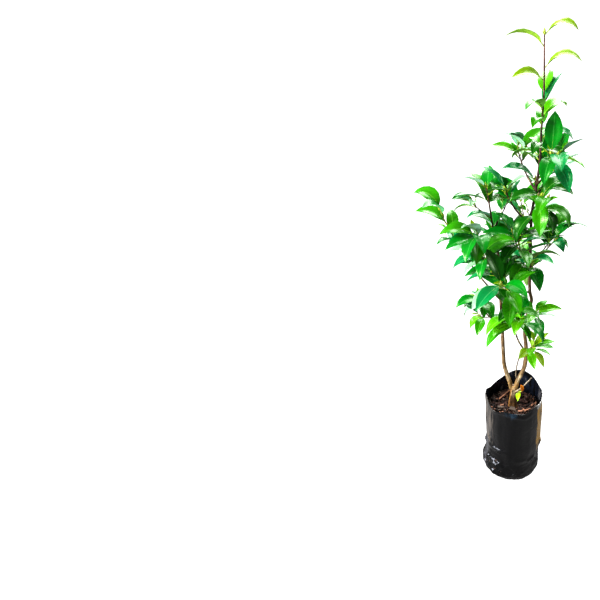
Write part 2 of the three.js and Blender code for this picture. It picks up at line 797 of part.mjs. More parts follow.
for (const { shoot, path } of [...grown]) {
  for (const side of sideShoots(path, shoot)) {
    if (twigIsClear(shoot.mass, side.path)) {
      const radii = taper(TWIG_RADIUS, TIP_RADIUS, side.path.length);
      takeLimb(shoot.mass, side.path, radii);
      masses.get(shoot.mass).limbs.push(limb(side.path, radii, TWIG_SIDES));
      grown.push(side);
    }
  }
}
for (const { shoot, path } of grown) {
  for (const leaf of leavesOn(path, shoot)) {
    const spots = spotsOf(leaf);
    if (leafIsClear(shoot.mass, spots)) {
      takenByLeaves.push({ owner: shoot.mass, ...spots });
      masses.get(shoot.mass).leaves.push(leaf);
    }
  }
}

// ---------------------------------------------------------------- materials

function finish(color, roughness) {
  return new THREE.MeshStandardMaterial({ color, roughness, metalness: 0, flatShading: true });
}
const POLYTHENE = finish("#141416", 0.25);
const BARK_CHIPS = finish("#4a342b", 0.95);
const OLD_BARK = finish("#7a6248", 0.85);
const YOUNG_BARK = finish("#5e4632", 0.8);
const DEAD_WOOD = finish("#a89a86", 0.9);
const GREEN_LEAF = finish("#2f8f3a", 0.35);
const YOUNG_LEAF = finish("#8fc83e", 0.4);
const YOUNG_MASSES = ["leader_top", "lowest_right", "young_shoot"];

// ---------------------------------------------------------------- the plant

function mesh(name, geometry, material) {
  const piece = new THREE.Mesh(geometry, material);
  piece.name = name;
  return piece;
}

// The room that the trunk and stems take up, with the gap round it, to cut their side
// limbs clear.
const room = {
  trunk: solidOf(trunk(GAP)),
  right: solidOf(stem("right", GAP)),
  left: solidOf(stem("left", GAP)),
};
const cutClear = (geometry, name) => geometryOf(mainBody(solidOf(geometry).subtract(room[name])));

const planter = new THREE.Group();
planter.add(mesh("bag", bag(), POLYTHENE), mesh("potting_mix", pottingMix(), BARK_CHIPS));

const wood = new THREE.Group();
wood.add(
  mesh("trunk", trunk(), OLD_BARK),
  mesh("stem_right", cutClear(stem("right"), "trunk"), OLD_BARK),
  mesh("stem_left", cutClear(stem("left"), "trunk"), OLD_BARK),
);
for (const [name, { on, geometry }] of boughs) {
  wood.add(mesh(`bough_${name}`, cutClear(geometry, on), YOUNG_BARK));
}
for (const { name, on, geometry } of deadTwigs) {
  wood.add(mesh(name, cutClear(geometry, on), DEAD_WOOD));
}

const foliage = new THREE.Group();
for (const [name, { limbs, leaves, cutBy }] of masses) {
  const fused = geometryOf(wasm.Manifold.union([...limbs, ...leaves.map(leafShape)].map(solidOf)));
  const geometry = cutBy ? cutClear(fused, cutBy) : geometryOf(mainBody(solidOf(fused)));
  const material = YOUNG_MASSES.includes(name) ? YOUNG_LEAF : GREEN_LEAF;
  foliage.add(mesh(`mass_${name}`, geometry, material));
}

const camellia = new THREE.Group();
camellia.add(planter, wood, foliage);

export default camellia;
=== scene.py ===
# %% [markdown]
# # A young camellia in its planter bag
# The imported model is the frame: every piece below is set where its solid stands, in metres.
# The plant is drawn again by the rule that grew its solids, with rounder limbs, arched
# leaves, buds and bark. The bag, the potting mix and the chips on it are modelled last.

# %% Load the frame
import math

import bmesh
import bpy
import numpy as np
from mathutils import Matrix, Vector, noise


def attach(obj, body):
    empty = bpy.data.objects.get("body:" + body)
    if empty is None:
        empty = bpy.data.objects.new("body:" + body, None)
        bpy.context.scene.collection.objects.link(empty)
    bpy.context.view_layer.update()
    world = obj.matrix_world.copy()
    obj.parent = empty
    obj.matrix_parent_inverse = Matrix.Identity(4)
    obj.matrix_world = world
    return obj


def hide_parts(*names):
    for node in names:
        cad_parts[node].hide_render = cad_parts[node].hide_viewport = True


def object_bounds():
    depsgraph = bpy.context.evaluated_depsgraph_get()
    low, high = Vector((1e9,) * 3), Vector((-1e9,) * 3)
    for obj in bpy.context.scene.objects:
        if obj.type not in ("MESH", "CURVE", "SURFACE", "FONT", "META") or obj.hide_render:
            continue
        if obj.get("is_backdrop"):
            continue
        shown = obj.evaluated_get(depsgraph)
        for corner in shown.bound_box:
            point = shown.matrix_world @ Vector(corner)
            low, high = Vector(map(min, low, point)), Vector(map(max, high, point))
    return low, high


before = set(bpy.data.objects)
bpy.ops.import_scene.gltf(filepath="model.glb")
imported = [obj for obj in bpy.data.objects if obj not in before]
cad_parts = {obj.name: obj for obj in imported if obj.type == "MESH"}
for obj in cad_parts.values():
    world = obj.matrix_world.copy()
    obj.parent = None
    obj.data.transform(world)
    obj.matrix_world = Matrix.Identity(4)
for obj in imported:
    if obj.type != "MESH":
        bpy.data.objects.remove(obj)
cad_box = [list(corner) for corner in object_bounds()]
MM = 0.001
print("nodes in the frame:", len(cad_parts), "box:", cad_box)

# %% [markdown]
# ## Camera
# The plant is seen from standing height, looking down at it, with the camera a little
# tilted. The camera could be aimed at a target, but that leaves out its tilt. So three
# angles give the camera's axes, and a matrix takes them as its columns.

# %% Camera
EYE = Vector((0, -1.240, 1.370))
YAW, PITCH, ROLL = (math.radians(angle) for angle in (22.7347, 32.9718, -9.8997))
SENSOR_WIDTH, LENS = 36, 38.22  # millimetres

look = Vector((-math.sin(YAW) * math.cos(PITCH), math.cos(YAW) * math.cos(PITCH), -math.sin(PITCH)))
level = Vector((math.cos(YAW), math.sin(YAW), 0))
upright = level.cross(look)
right = level * math.cos(ROLL) + upright * math.sin(ROLL)
up = upright * math.cos(ROLL) - level * math.sin(ROLL)

camera = bpy.data.objects.new("camera", bpy.data.cameras.new("camera"))
bpy.context.scene.collection.objects.link(camera)
camera.data.sensor_width = SENSOR_WIDTH
camera.data.lens = LENS
camera.matrix_world = Matrix.Translation(EYE) @ Matrix((right, up, -look)).transposed().to_4x4()
bpy.context.scene.camera = camera
print("camera at", tuple(EYE), "looks along", tuple(round(c, 3) for c in look))

# %% [markdown]
# ## Floor and light
# A plain white floor and sky stand in for a studio sweep. To the camera they are pure white,
# and to everything else they shine much less, so the greens stay deep. Waxy leaves mirror
# what is around them: a large soft panel behind the plant lays a pale sheen on half of them.
# A smaller key lamp from the upper left models the stems, a long low strip on the left draws
# bright lines along the creases of the bag, and a weak lamp lifts the right-hand side.

# %% Helpers for colours and nodes
WHITE = "#ffffff"


def linear(code, alpha=1.0):
    """An sRGB hex colour as the linear colour that shaders take."""
    parts = [int(code[i : i + 2], 16) / 255 for i in (1, 3, 5)]
    return [c / 12.92 if c <= 0.04045 else ((c + 0.055) / 1.055) ** 2.4 for c in parts] + [alpha]


def add(tree, kind, inputs=None, **settings):
    """Adds a node. An input takes a value, or an output socket that is linked to it."""
    node = tree.nodes.new(kind)
    for name, value in settings.items():
        setattr(node, name, value)
    for name, value in (inputs or {}).items():
        if isinstance(value, bpy.types.NodeSocket):
            tree.links.new(value, node.inputs[name])
        else:
            node.inputs[name].default_value = value
    return node


def material(name, **shader):
    """An empty material with its shader's plain values, and its node tree."""
    made = bpy.data.materials.new(name)
    made.use_nodes = True
    tree = made.node_tree
    principled = tree.nodes["Principled BSDF"]
    for socket, value in shader.items():
        principled.inputs[socket.replace("_", " ")].default_value = value
    return made, tree, principled


print("mid grey in linear light:", round(linear("#808080")[0], 3))


# %% Helpers for pieces and lamps
def piece(name, mesh, *materials):
    """Links a finished mesh as an object with its materials."""
    made = bpy.data.objects.new(name, mesh)
    bpy.context.scene.collection.objects.link(made)
    for one in materials:
        made.data.materials.append(one)
    return made


def lamp(name, place, target, sides, watts, colour):
    """An area lamp that looks at its target, with its width and height."""
    data = bpy.data.lights.new(name, "AREA")
    data.shape = "RECTANGLE"
    data.size, data.size_y = sides
    data.energy = watts
    data.color = linear(colour)[:3]
    made = bpy.data.objects.new(name, data)
    bpy.context.scene.collection.objects.link(made)
    aimed = (Vector(target) - Vector(place)).to_track_quat("-Z", "Y")
    made.matrix_world = Matrix.Translation(place) @ aimed.to_matrix().to_4x4()


def white_to_camera(tree, others):
    """A strength of 1 for what the camera sees itself, and another for all other light."""
    seen = add(tree, "ShaderNodeLightPath").outputs["Is Camera Ray"]
    return add(tree, "ShaderNodeMapRange", {"Value": seen, "To Min": others, "To Max": 1.0}).outputs[0]


# %% Sky and floor
FLOOR_SIDE = 30.0
SKY_STRENGTH = 0.3
world = bpy.data.worlds.new("even sky")
bpy.context.scene.world = world
world.use_nodes = True
sky = world.node_tree.nodes["Background"]
sky.inputs["Color"].default_value = linear(WHITE)
world.node_tree.links.new(white_to_camera(world.node_tree, SKY_STRENGTH), sky.inputs["Strength"])
bpy.context.scene.view_settings.view_transform = "Standard"
bpy.context.scene.view_settings.look = "Medium High Contrast"

bm = bmesh.new()
bmesh.ops.create_grid(bm, x_segments=1, y_segments=1, size=FLOOR_SIDE / 2)
floor_mesh = bpy.data.meshes.new("floor")
bm.to_mesh(floor_mesh)
bm.free()
# Matt paper: grey to the plant, so that it throws little light back, and white to the camera.
paper, tree, shader = material("white paper", Base_Color=linear("#6c6c6c"), Roughness=0.95,
                               Emission_Color=linear(WHITE))
tree.links.new(white_to_camera(tree, 0.0), shader.inputs["Emission Strength"])
floor = piece("floor", floor_mesh, paper)
floor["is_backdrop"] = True
print("the sky shines at", SKY_STRENGTH, "and the floor is", FLOOR_SIDE, "m wide")

# %% Lamps
LAMPS = (
    # name, place, target, width and height in metres, watts, colour
    ("key", (-1.9, -1.0, 2.3), (0, 0, 0.5), (0.8, 0.8), 120, "#fffaf0"),
    ("panel behind", (0.3, 2.4, 2.6), (0, 0, 0.7), (2.6, 2.6), 225, WHITE),
    ("low strip", (-1.6, -1.0, 0.65), (0, 0, 0.15), (2.2, 0.4), 66, "#eef2ff"),
    ("right side", (1.6, 0.6, 1.5), (0, 0, 0.5), (0.7, 0.7), 18, WHITE),
)
for row in LAMPS:
    lamp(*row)
print("lamps:", len(LAMPS))

# %% [markdown]
# ## How the plant grows
# The same rows and the same rule grow the solids: a shoot leaves its stem at a height, turns
# up as it goes, and bears its leaves in a spiral. The numbers that vary come from a seed, so
# they are the same each time. A leaf or twig that would touch another piece is skipped. The
# rule works in millimetres and in plain arrays, and only the drawing turns it into metres.

# %% Stems and dead twigs
SOIL_LEVEL = 210
STEMS = {
    # height, x, y, radius
    "right": [
        (274, 3.8, 0, 5), (297, 8, 0, 5), (312, 14, 1, 5), (338, 21, 3, 5), (370, 23, 5, 4.8),
        (400, 21, 7, 4.3), (434, 17, 9, 4), (478, 20, 11, 3.8), (520, 27, 12, 3.6),
        (548, 22, 13, 3.5), (604, 20, 14, 3.3), (666, 18, 14, 3.1), (732, 17, 13, 2.9),
        (793, 22, 11, 2.6), (853, 26, 9, 2.4), (914, 25, 7, 2.1), (990, 25, 4, 1.7), (1090, 20, 0, 1),
    ],
    "left": [
        (274, -8, -1, 4.8), (291, -11.5, -2, 4.8), (314, -18, -4, 4.8), (347, -25, -7, 4.6),
        (386, -28, -10, 4.2), (439, -31, -14, 3.9), (484, -34, -18, 3.6), (541, -37, -22, 3.3),
        (583, -38, -25, 3), (627, -40, -28, 2.8), (656, -44, -30, 2.6), (683, -49, -32, 2.4),
        (708, -54, -34, 2.2), (757, -61, -37, 1.8), (798, -67, -40, 1.4), (822, -71, -41, 1),
    ],
    "trunk": [
        (210.3, 0, 0, 11), (214, 0, 0, 8.6), (222, 0, 0, 7), (242, -0.5, 0, 6.3), (260, -1, 0, 8),
        (274, -2, 0, 11),
    ],
}
STEM_TOPS = {"right": 846, "left": 675, "trunk": 274}
TOP_STEMS = {
    "leader_collar": ("right", 846, 904),
    "leader_top": ("right", 904, 1090),
    "left_crown": ("left", 675, 822),
}
DEAD_TWIGS = {
    # x, y, height, radius
    "dead_twig": [
        (8, 0, 296, 1.2), (3, -3, 309, 1.1), (3, -4, 335, 1), (7, -4, 366, 0.9), (11, -4, 394, 0.6),
    ],
    "dead_stub": [(0, -2, 256, 1.7), (12, -9, 272, 1.5), (25, -8, 290, 1.2), (38, -4, 308, 0.8)],
}
print("stems:", ", ".join(STEMS), "and dead wood:", ", ".join(DEAD_TWIGS))

# %% [markdown]
# ## The shoots
# A bough with its leafy end, a short shoot and the leafy top of a stem differ only in size,
# so one kind of row describes them all. The habit says what most shoots share, and a row
# gives only what is its own. Lengths are in millimetres and angles in degrees.

# %% Shoots
HABIT = {
    "curl": 20,  # how far the shoot turns up over its length
    "first": 0.12,  # share of the leafy length where the first leaf sits
    "crowd": 1.25,  # over 1, the leaves crowd towards the tip
    "open": 60,  # angle between the shoot and a leaf's stalk
    "lift": 0.2,  # how much the stalks turn up
    "droop": 55,  # how far a blade bends down over its length
    "divergence": 144,  # turn from one leaf to the next
    "sides": 0,  # how many side twigs
    "side_leaves": 3,  # on each of them
    "end": None,  # for a stem's own leafy top, the height where it ends
}


def shoot(mass, on, start, **row):
    """One shoot: its mass, the stem and the height it leaves from, and what its row says."""
    return {**HABIT, "mass": mass, "on": on, "start": start, **row}


SHOOTS = [
    shoot("leader_top", "right", 904, end=960, leaves=5, size=66, spin=95, seed=294, first=0.15,
          crowd=1, open=55, lift=0.5, droop=90, divergence=166),
    shoot("leader_top", "right", 965, end=1010, leaves=2, size=66, spin=85, seed=673, first=0.2,
          crowd=1, open=70, lift=0.3, droop=60, divergence=152),
    shoot("leader_top", "right", 1025, end=1070, leaves=2, size=64, spin=40, seed=768, first=0.2,
          crowd=1, open=55, lift=0.3, droop=90, divergence=180),
    shoot("leader_top", "right", 1078, end=1090, leaves=1, size=60, spin=30, seed=840, first=0.1,
          open=70, lift=0.3, droop=85),
    shoot("leader_collar", "right", 846, end=904, leaves=7, size=58, spin=75, seed=848, first=0.1,
          crowd=1, lift=0, droop=95, divergence=138),
    shoot("upper_right", "right", 801, azimuth=305, rise=55, bare=76, leafy=24, leaves=3, size=72,
          spin=275, seed=625, first=0.07, open=65, lift=0, droop=70, divergence=152, sides=1,
          side_leaves=4),
    shoot("mid_right", "right", 762, azimuth=45, rise=60, bare=48, leafy=36, leaves=7, size=72,
          spin=260, seed=660, first=0.08, open=35, lift=0, droop=30, divergence=152, sides=1,
          side_leaves=2),
    shoot("front_right", "right", 675, azimuth=280, rise=60, bare=96, leafy=64, leaves=6, size=68,
          spin=195, seed=838, curl=10, first=0.02, open=70, lift=0, droop=95, divergence=140, sides=1),
    shoot("low_right", "right", 604, azimuth=25, rise=55, bare=28, leafy=72, leaves=6, size=62,
          spin=10, seed=965, curl=0, first=0.32, open=50, lift=0.5, droop=95, divergence=142, sides=1),
    shoot("front_shoot", "right", 602, azimuth=265, rise=40, bare=24, leafy=52, leaves=5, size=70,
          spin=285, seed=464, first=0.28, open=50, lift=0.5, droop=90, divergence=154),
    shoot("behind_right", "right", 768, azimuth=90, rise=60, bare=12, leafy=28, leaves=3, size=70,
          spin=150, seed=836, curl=0, first=0.04, open=75, lift=0.3, droop=75, divergence=132),
    shoot("upper_left", "right", 789, azimuth=125, rise=45, bare=64, leafy=32, leaves=5, size=62,
          spin=225, seed=91, curl=40, first=0.49, lift=0.1, droop=50, divergence=142, sides=1),
    shoot("mid_left", "right", 712, azimuth=220, rise=55, bare=80, leafy=40, leaves=4, size=60,
          spin=155, seed=203, curl=30, first=0.1, open=45, lift=0, droop=35, divergence=132, sides=1),
    shoot("inner_left", "right", 606, azimuth=245, rise=60, bare=52, leafy=96, leaves=11, size=62,
          spin=20, seed=137, curl=30, first=0.2, open=70, lift=0.1, droop=40, divergence=150, sides=1),
    shoot("low_inner", "right", 544, azimuth=250, rise=35, bare=88, leafy=116, leaves=11, size=66,
          spin=45, seed=499, first=0.22, open=70, droop=60, divergence=130, sides=1),
    shoot("short_right", "right", 470, azimuth=305, rise=50, bare=20, leafy=24, leaves=8, size=48,
          spin=195, seed=581, curl=40, first=0.02, open=70, lift=0.3, droop=45),
    shoot("front_low", "right", 382, azimuth=250, rise=60, bare=136, leafy=68, leaves=8, size=68,
          spin=90, seed=886, curl=30, first=0.04, open=55, lift=0.1, droop=90, divergence=128, sides=1,
          side_leaves=4),
    shoot("lowest_right", "right", 386, azimuth=305, rise=40, bare=12, leafy=24, leaves=8, size=46,
          spin=245, seed=616, curl=0, first=0.02, open=55, lift=0, droop=30, divergence=146, sides=1),
    shoot("back_low", "right", 528, azimuth=95, rise=20, bare=52, leafy=60, leaves=7, size=72, spin=10,
          seed=320, curl=0, first=0.24, open=45, lift=0, droop=95, divergence=130, sides=1),
    shoot("back_mid", "right", 646, azimuth=110, rise=50, bare=52, leafy=60, leaves=4, size=72,
          spin=180, seed=533, curl=0, first=0.07, open=55, lift=0.4, droop=35, divergence=178, sides=1),
    shoot("back_left", "left", 576, azimuth=85, rise=80, bare=16, leafy=88, leaves=9, size=72, spin=40,
          seed=188, curl=30, open=65, lift=0, droop=90, divergence=136, sides=1),
    shoot("left_crown", "left", 675, end=725, leaves=6, size=66, spin=220, seed=132, first=0.1,
          crowd=1, open=35, lift=0.5, droop=90, divergence=152),
    shoot("left_crown", "left", 725, end=775, leaves=4, size=72, spin=130, seed=681, first=0.1,
          crowd=1, open=35, lift=0.1, droop=80, divergence=136),
    shoot("left_crown", "left", 775, end=822, leaves=5, size=54, spin=130, seed=307, first=0.15,
          crowd=1, lift=0, droop=30, divergence=132),
    shoot("left_crown", "left", 698, azimuth=240, rise=30, bare=56, leafy=24, leaves=7, size=68,
          spin=185, seed=920, curl=40, crowd=1, open=45, lift=0.1, droop=70, divergence=138),
    shoot("left_crown", "left", 724, azimuth=60, rise=40, bare=12, leafy=64, leaves=4, size=72,
          spin=290, seed=50, crowd=1, open=40, lift=0, droop=75, divergence=132),
    shoot("left_crown", "left", 747, azimuth=190, rise=45, bare=36, leafy=24, leaves=4, size=46,
          spin=250, seed=154, curl=0, crowd=1, open=50, lift=0.4, droop=75, divergence=156),
    shoot("far_left", "left", 541, azimuth=180, rise=60, bare=100, leafy=156, leaves=6, size=68,
          spin=195, seed=435, first=0.2, open=35, lift=0.3, droop=85, divergence=142),
    shoot("left_low", "left", 472, azimuth=210, rise=55, bare=60, leafy=36, leaves=3, size=62,
          spin=210, seed=381, curl=40, first=0.02, open=70, lift=0, droop=75, divergence=148, sides=1,
          side_leaves=4),
    shoot("left_wide", "left", 623, azimuth=245, rise=45, bare=16, leafy=88, leaves=10, size=64,
          spin=35, seed=71, curl=30, first=0.2, lift=0.1, droop=95, divergence=138, sides=1,
          side_leaves=4),
    shoot("left_hang", "left", 498, azimuth=220, rise=20, bare=16, leafy=48, leaves=4, size=56,
          spin=50, seed=673, curl=30, crowd=1, lift=0.1, droop=75, divergence=150),
    shoot("young_shoot", "trunk", 250, azimuth=330, rise=40, bare=12, leafy=8, leaves=1, size=28,
          spin=180, seed=32, lift=0, droop=75),
]
print("shoots:", len(SHOOTS))

# %% Small geometry
UP = np.array((0.0, 0.0, 1.0))
SEED_STEP, INDEX_STEP, SCATTER = 12.9898, 78.233, 43758.5453


def jitter(seed, index):
    """A repeatable number from 0 to 1: the digits far behind the point of a large sine."""
    wave = math.sin(seed * SEED_STEP + index * INDEX_STEP) * SCATTER
    return wave - math.floor(wave)


def aim(azimuth, rise):
    """The unit vector with this azimuth and rise, in radians."""
    flat = math.cos(rise)
    return np.array((flat * math.cos(azimuth), flat * math.sin(azimuth), math.sin(rise)))


def unit(vector):
    return vector / np.linalg.norm(vector)


def stem_at(name, height):
    """A stem's centre and radius at a height."""
    rows = STEMS[name]
    i = max(1, next((k for k, row in enumerate(rows) if row[0] >= height), 1))
    low, high = rows[i - 1], rows[i]
    share = (height - low[0]) / (high[0] - low[0])
    x, y, radius = (a + (b - a) * share for a, b in zip(low[1:], high[1:]))
    return np.array((x, y, height)), radius


def stretch(name, start, end):
    """The centres and radii of a stem between two heights."""
    heights = [start, *(row[0] for row in STEMS[name] if start < row[0] < end), end]
    stations = [stem_at(name, height) for height in heights]
    return [point for point, _ in stations], [radius for _, radius in stations]


print("the right-hand stem at 500 mm:", *(np.round(value, 1) for value in stem_at("right", 500)))

# %% Paths
SHOOT_STEP = 8  # length of one step of growth


def steps_in(length):
    """How many steps a length is divided in, at least three."""
    return max(3, math.floor(length / SHOOT_STEP + 0.5))


def reach(start, azimuth, rise, curl, length):
    """A shoot's path, which starts flatter than its rise and turns up by the curl."""
    steps = steps_in(length)
    points = [start]
    for i in range(steps):
        heading = aim(math.radians(azimuth), math.radians(rise + curl * (i + 0.5) / steps))
        points.append(points[i] + heading * length / steps)
    return points


def along(points, share):
    """The point and the heading at a share of a path."""
    x = min(max(share, 0), 1) * (len(points) - 1)
    i = min(math.floor(x), len(points) - 2)
    step = points[i + 1] - points[i]
    return points[i] + step * (x - i), unit(step)


def part(points, start, end, steps):
    """A stretch of a path between two shares of it, in even steps."""
    return [along(points, start + (end - start) * i / steps)[0] for i in range(steps + 1)]


def taper(start, end, count):
    """Numbers that run evenly from a start to an end."""
    return [start + (end - start) * i / (count - 1) for i in range(count)]


def path_length(path):
    return sum(float(np.linalg.norm(b - a)) for a, b in zip(path, path[1:]))


print("a shoot 100 mm long grows in", steps_in(100), "steps")

# %% [markdown]
# ## Where the leaves stand
# Camellia leaves stand singly, each turned on from the one before, and crowd towards the tip
# of a shoot. Placing them by hand would take hundreds of rows. Here a rule places them, and
# small shifts drawn from the shoot's seed take the stiffness out of it. A blade bends down
# from its stalk along an arc, and its two halves stand up a little from the midrib.

# %% Leaves along a shoot
LEAFLESS_END = 3  # length at either end of a shoot that bears no leaf
NEARLY_UPRIGHT = 1e-6  # the square of the level part of a heading
PLACE_SPAN, TURN_SPAN, OPEN_SPAN, ROLL_SPAN = 0.6, 40, 16, 50  # how widely each may shift
CLOSED_AT_TIP = 18  # how much less the last leaf of a shoot opens
DROOP_LEAST, DROOP_SPAN = 0.7, 0.6  # shares of the droop that its row gives
SIZE_LEAST, SIZE_SPAN = 0.82, 0.34  # shares of the size that its row gives
OPEN_DRAW, SIZE_DRAW, DROOP_DRAW, ROLL_DRAW, PLACE_DRAW = 50, 100, 150, 200, 250


def shifted(seed, index, span):
    """A number as far below nought as above it."""
    return (jitter(seed, index) - 0.5) * span


def leaves_on(path, row):
    """The leaves of a shoot, from foot to tip, each turned on from the one before."""
    count, seed, first = row["leaves"], row["seed"], row["first"]
    margin = LEAFLESS_END / path_length(path)
    leaves = []
    for i in range(count):
        behind = (count - 1 - i) / max(1, count - 1)
        shift = shifted(seed, i + PLACE_DRAW, PLACE_SPAN) * (1 - first) / count
        share = 1 - (1 - first) * behind ** row["crowd"] + shift
        point, heading = along(path, min(max(share, margin), 1 - margin))
        flat = np.cross(UP, heading)
        flat = np.array((1.0, 0, 0)) if flat @ flat < NEARLY_UPRIGHT else unit(flat)
        over = np.cross(heading, flat)
        turn = math.radians(row["spin"] + i * row["divergence"] + shifted(seed, i, TURN_SPAN))
        outward = flat * math.cos(turn) + over * math.sin(turn)
        closed = CLOSED_AT_TIP * (1 - behind)
        opened = math.radians(row["open"] - closed + shifted(seed, i + OPEN_DRAW, OPEN_SPAN))
        stalk = unit(heading * math.cos(opened) + outward * math.sin(opened))
        stalk = unit(stalk + UP * row["lift"])
        leaves.append({
            "at": point,
            "azimuth": math.atan2(stalk[1], stalk[0]),
            "rise": math.asin(min(max(stalk[2], -1), 1)),
            "droop": math.radians(row["droop"] * (DROOP_LEAST + DROOP_SPAN * jitter(seed, i + DROOP_DRAW))),
            "roll": math.radians(shifted(seed, i + ROLL_DRAW, ROLL_SPAN)),
            "length": row["size"] * (SIZE_LEAST + SIZE_SPAN * jitter(seed, i + SIZE_DRAW)),
            "young": False,
        })
    return leaves


print("leaves of one row differ in length by up to", round(100 * SIZE_SPAN), "%")

# %% Blade of a leaf
LEAF_SLENDERNESS = 0.44  # width over length
LEAF_FOLD = math.radians(20)  # how far each half stands up from the midrib
LEAF_STALK = 9
LEAF_TAPER = 0.85  # under 1, the blade is broadest nearer its stalk


def blade(leaf, share):
    """The blade's middle, its two directions and its half width at a share of its length."""
    azimuth, rise, droop, length = (leaf[k] for k in ("azimuth", "rise", "droop", "length"))
    bend = rise - droop * share
    middle = leaf["at"] + aim(azimuth, rise) * LEAF_STALK
    middle = middle + aim(azimuth, 0) * (math.sin(rise) - math.sin(bend)) / droop * length
    middle = middle + UP * (math.cos(bend) - math.cos(rise)) / droop * length
    side = np.array((-math.sin(azimuth), math.cos(azimuth), 0))
    face = np.cross(aim(azimuth, bend), side)
    across = side * math.cos(leaf["roll"]) + face * math.sin(leaf["roll"])
    over = face * math.cos(leaf["roll"]) - side * math.sin(leaf["roll"])
    half = math.sin(math.pi * share**LEAF_TAPER) * LEAF_SLENDERNESS * length / 2
    return middle, across, over, half


def blade_point(section, share):
    """A point of a section, at a share of its half width from the midrib."""
    middle, across, over, half = section
    return (middle + across * share * half * math.cos(LEAF_FOLD)
            + over * abs(share) * half * math.sin(LEAF_FOLD))


print("a leaf 70 mm long is", round(70 * LEAF_SLENDERNESS), "mm wide")

# %% [markdown]
# ## Room for limbs and leaves
# On the plant leaves slide past each other, but the solids of two masses must stay apart.
# Their meshes could be tested for overlap, which is slow. Instead each limb and leaf is held
# as a few points with room around them, and a newcomer that comes too near another piece's
# points is left out.

# %% Room for limbs
SPOT_SPACING = 3  # along a limb
limb_spots = {"owner": [], "point": [], "radius": []}


def take_limb(owner, points, radii):
    """Marks the space of a limb as taken."""
    for i in range(1, len(points)):
        count = max(1, math.ceil(float(np.linalg.norm(points[i] - points[i - 1])) / SPOT_SPACING))
        for k in range(count):
            share = (k + 0.5) / count
            limb_spots["owner"].append(owner)
            limb_spots["point"].append(points[i - 1] + (points[i] - points[i - 1]) * share)
            limb_spots["radius"].append(radii[i - 1] + (radii[i] - radii[i - 1]) * share)


def distances(some, others):
    """The distance from each of some points to each of the others."""
    return np.linalg.norm(np.asarray(some)[:, None] - np.asarray(others)[None], axis=2)


def keeps_off_limbs(owner, points, extra):
    """Whether points stay clear of every limb that another piece owns."""
    others = np.array([name != owner for name in limb_spots["owner"]])
    room = np.array(limb_spots["radius"])[others] + extra
    return bool((distances(points, np.array(limb_spots["point"])[others]) >= room).all())


print("a limb is marked every", SPOT_SPACING, "mm")

# %% Room for leaves
LEAF_TO_LEAF = 4.5  # least distance between leaves of two masses
LEAF_TO_LIMB = 1.6  # least distance between a leaf and another piece's bark
LOWEST_LEAF = 280  # leaves keep above the bag's rim, or well inside it
OVER_SOIL = 5  # least height of a low leaf over the potting mix
INSIDE_RIM = 50  # furthest reach of a low leaf from the middle of the bag
SPOT_ROWS = 10  # along a blade
SPOT_ACROSS = (-1, -0.5, 0, 0.5, 1)  # shares of the half width
STALK_SPOTS = (4, 7)  # distances from the shoot
LEAF_REACH = 80  # leaves whose middles are further apart can't touch
leaf_spots = []


def spots_of(leaf):
    """Points spread over a leaf's blade, and two on its stalk."""
    points = []
    for i in range(SPOT_ROWS):
        section = blade(leaf, (i + 1) / SPOT_ROWS)
        points += [blade_point(section, across) for across in SPOT_ACROSS]
    stalk = aim(leaf["azimuth"], leaf["rise"])
    points += [leaf["at"] + stalk * length for length in STALK_SPOTS]
    return blade(leaf, 0.5)[0], np.array(points)


def keeps_off_planter(points):
    """Whether points are above the planter, or over the potting mix and well inside the rim."""
    inside = (points[:, 2] > SOIL_LEVEL + OVER_SOIL) & (np.hypot(points[:, 0], points[:, 1]) < INSIDE_RIM)
    return bool(((points[:, 2] > LOWEST_LEAF) | inside).all())


def leaf_is_clear(owner, middle, points):
    """Whether a leaf keeps off the planter, and clear of the limbs and leaves of others."""
    if not keeps_off_planter(points) or not keeps_off_limbs(owner, points, LEAF_TO_LIMB):
        return False
    for other, their_middle, theirs in leaf_spots:
        if other != owner and np.linalg.norm(their_middle - middle) < LEAF_REACH:
            if (distances(points, theirs) < LEAF_TO_LEAF).any():
                return False
    return True


print("a leaf takes up", SPOT_ROWS * len(SPOT_ACROSS) + len(STALK_SPOTS), "points")

# %% [markdown]
# ## Grow the plant
# The stems take their room first, then the shoots, their side twigs and last the leaves. The
# order matters, because what grew first keeps its place. A shoot with a long bare foot has
# that foot as a bough of its own.

# %% Feet and side twigs of a shoot
BOUGH_STEPS = 4  # sections along a bare foot
SIDE_FROM, SIDE_SPAN = 0.12, 0.6  # shares of the shoot where its side twigs leave
SIDE_TURN, SIDE_TURN_SPAN = 38, 25
SIDE_RISE, SIDE_RISE_SPAN = -12, 20
SIDE_CURL = 15
SIDE_SHARE, SIDE_LESS, SIDE_LEAST = 0.55, 0.2, 12  # how long a twig is for its place
SIDE_HABIT = {"first": 0.45, "size": 0.93, "seed": 7, "spin": 70}  # the last two add up twig by twig
TURN_DRAW, RISE_DRAW = 300, 310


def paths_of(row):
    """A shoot's path, split where its bare foot ends and its leaves begin."""
    if row["end"]:
        heights = taper(row["start"], row["end"], steps_in(row["end"] - row["start"]) + 1)
        return [], [stem_at(row["on"], height)[0] for height in heights]
    start = stem_at(row["on"], row["start"])[0]
    total = row["bare"] + row["leafy"]
    whole = reach(start, row["azimuth"], row["rise"] - row["curl"] / 2, row["curl"], total)
    share = row["bare"] / total
    return part(whole, 0, share, BOUGH_STEPS), part(whole, share, 1, steps_in(row["leafy"]))


